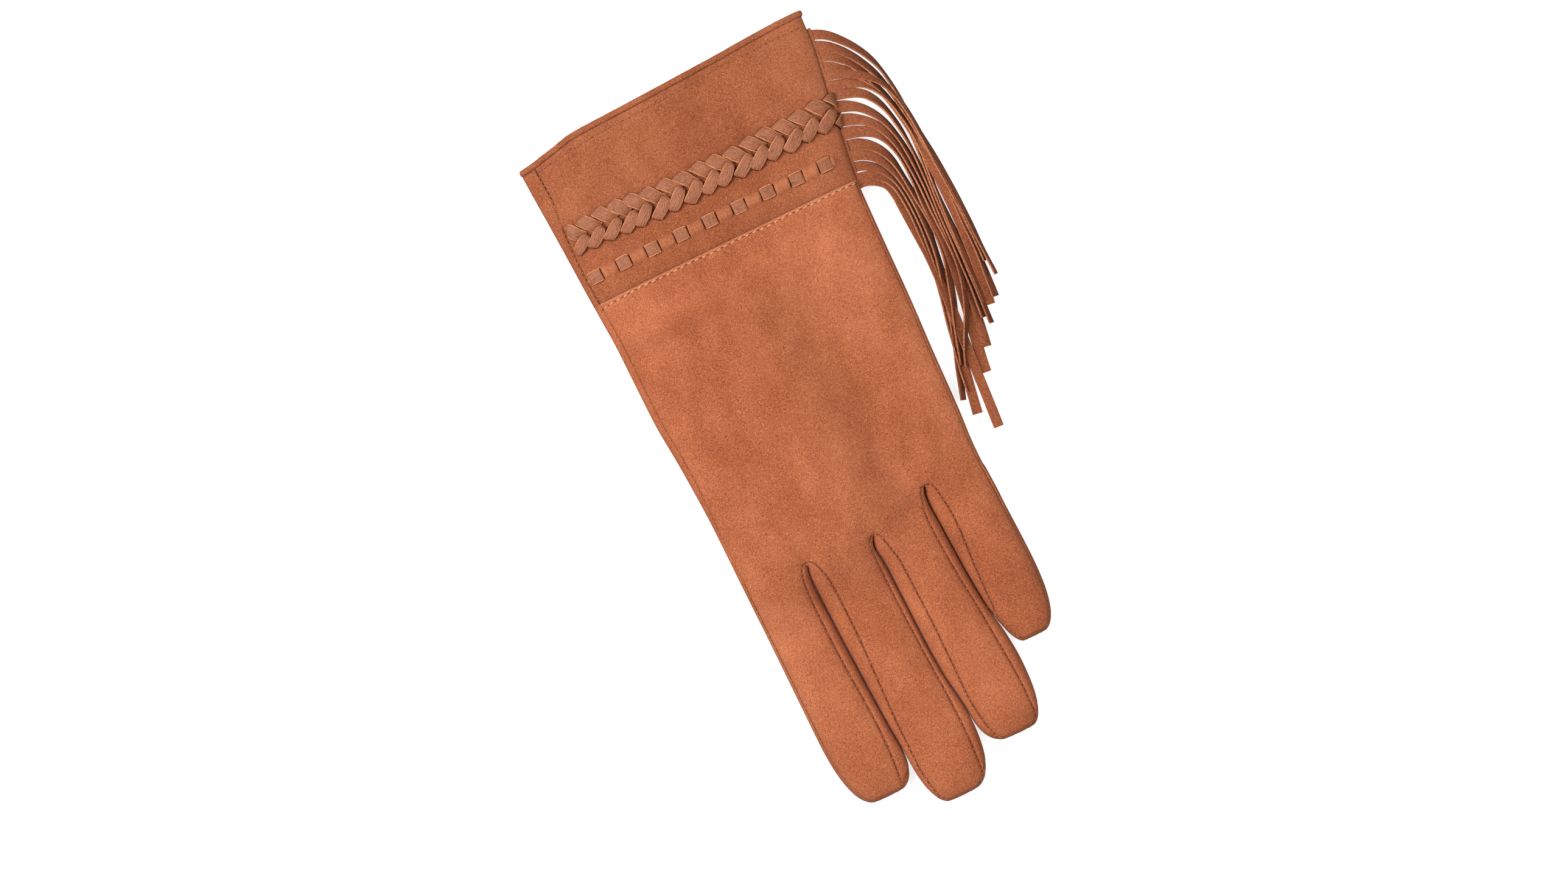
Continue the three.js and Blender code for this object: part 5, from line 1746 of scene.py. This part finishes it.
def walk_line(point_at, start, end, pitch, first):
    """Places a pitch apart along a line given by point_at(t), with its direction there.

    first says where the first one lies, as a share of the pitch.
    """
    points = [point_at(lerp(start, end, step / WALK_STEPS)) for step in range(WALK_STEPS + 1)]
    travelled, due, places = 0.0, pitch * first, []
    for a, b in zip(points, points[1:]):
        travelled += (b - a).length
        if travelled >= due:
            places.append((b, (b - a).normalized()))
            due += pitch
    return places


def wrist_line(x):
    y = wrist_stitch_y(x)
    return Vector((x, y, back_height(0, x, y) + wrist_fold(x, y) + 0.06))


def hem_line(x):
    y = read(TOPSTITCH_ROWS, "x", "y", x)
    return Vector((x, y, cuff_height(x, y) + 0.08))


def binding_line(x):
    y = hem_y(x) - BINDING_WIDTH - 0.05
    return Vector((x, y, cuff_height(x, y) - 0.4))


def groove(number, side, y):
    """A point in the groove beside a finger's back panel."""
    x = back_seam_x(number, side, y)
    return Vector((x, y, back_height(number, x, y) - GROOVE_DEPTH))


def little_edge_line(y):
    return groove(3, "right", y)


def slit_line(pair):
    """The groove round a slit: up one finger, round the slit's end and down the next, from -1 to 1."""
    def place(share):
        number, side = (pair, "right") if share < 0 else (pair + 1, "left")
        return groove(number, side, lerp(APEX[pair][1], FINGERS[number]["tip"] + 1.6, share * share))

    return place


def side_seam_line(y):
    x = side_seam_x(y)
    return Vector((x - 0.05, y, back_height(0, x, y) - 0.45))


def cuff_seam_line(y):
    x = side_seam_x(y)
    return Vector((x - 0.05, y, cuff_height(x, y) - 0.5))


def sew(
    name, lines, pitch, finish, length, thickness,
    slant=0.0, first=0.5, raised=0.0, uneven=0.0,
):
    """Stitches a pitch apart on several lines, each a point function and its range."""
    mesh = bmesh.new()
    for line, start, end in lines:
        for middle, along in walk_line(line, start, end, pitch, first):
            sideways = UP.cross(along)
            tilt = along + sideways * slant + UP * STITCH_RISE
            jitter = STITCH_JITTER * noise.noise(middle * 3.1)
            swell = 1 + uneven * noise.noise(middle * 0.9)
            middle = middle + sideways * jitter + UP * raised + along * (1 - swell)
            add_stitch(mesh, middle, tilt, length * swell, thickness * min(swell, 1.1))
    finish_piece(name, mesh, [finish])


wrist_seam = [(wrist_line, -46.4, 46.2)]
hem_seam = [(hem_line, -45.4, 52.6)]
binding_seam = [(binding_line, -45.4, 53.2)]
hand_seams = [(slit_line(pair), -1, 1) for pair in range(3)]
hand_seams += [(little_edge_line, -98, -156.5), (side_seam_line, -1.5, -160), (cuff_seam_line, 2.5, 47.5)]

sew("wrist_stitches", wrist_seam, WRIST_PITCH, PALE_THREAD, length=1.9, thickness=0.34, slant=0.16)
# Painted shade: a small dark ball in each needle hole between the wrist's stitches.
sew(
    "wrist_needle_hole_shade", wrist_seam, WRIST_PITCH, DARK_THREAD_AND_HOLE_SHADE,
    length=1.0, thickness=0.26, slant=-0.1, first=0.0,
)
sew("hem_stitches", hem_seam, HEM_PITCH, TAN_THREAD, length=1.3, thickness=0.22, slant=0.1)
# Painted shade: a small dark ball in each needle hole between the hem's stitches.
sew("hem_needle_hole_shade", hem_seam, HEM_PITCH, DARK_THREAD_AND_HOLE_SHADE, length=0.9, thickness=0.22, first=0.0)
sew("binding_stitches", binding_seam, BINDING_PITCH, DARK_THREAD_AND_HOLE_SHADE, length=0.6, thickness=0.3, slant=0.1)
sew("seam_stitches", hand_seams, SEAM_PITCH, DARK_THREAD_AND_HOLE_SHADE, length=0.5, thickness=0.2)
sew(
    "seam_puckers", hand_seams, PUCKER_PITCH, SUEDE,
    length=1.2, thickness=0.44, slant=0.16, first=0.0, raised=0.2, uneven=0.9,
)
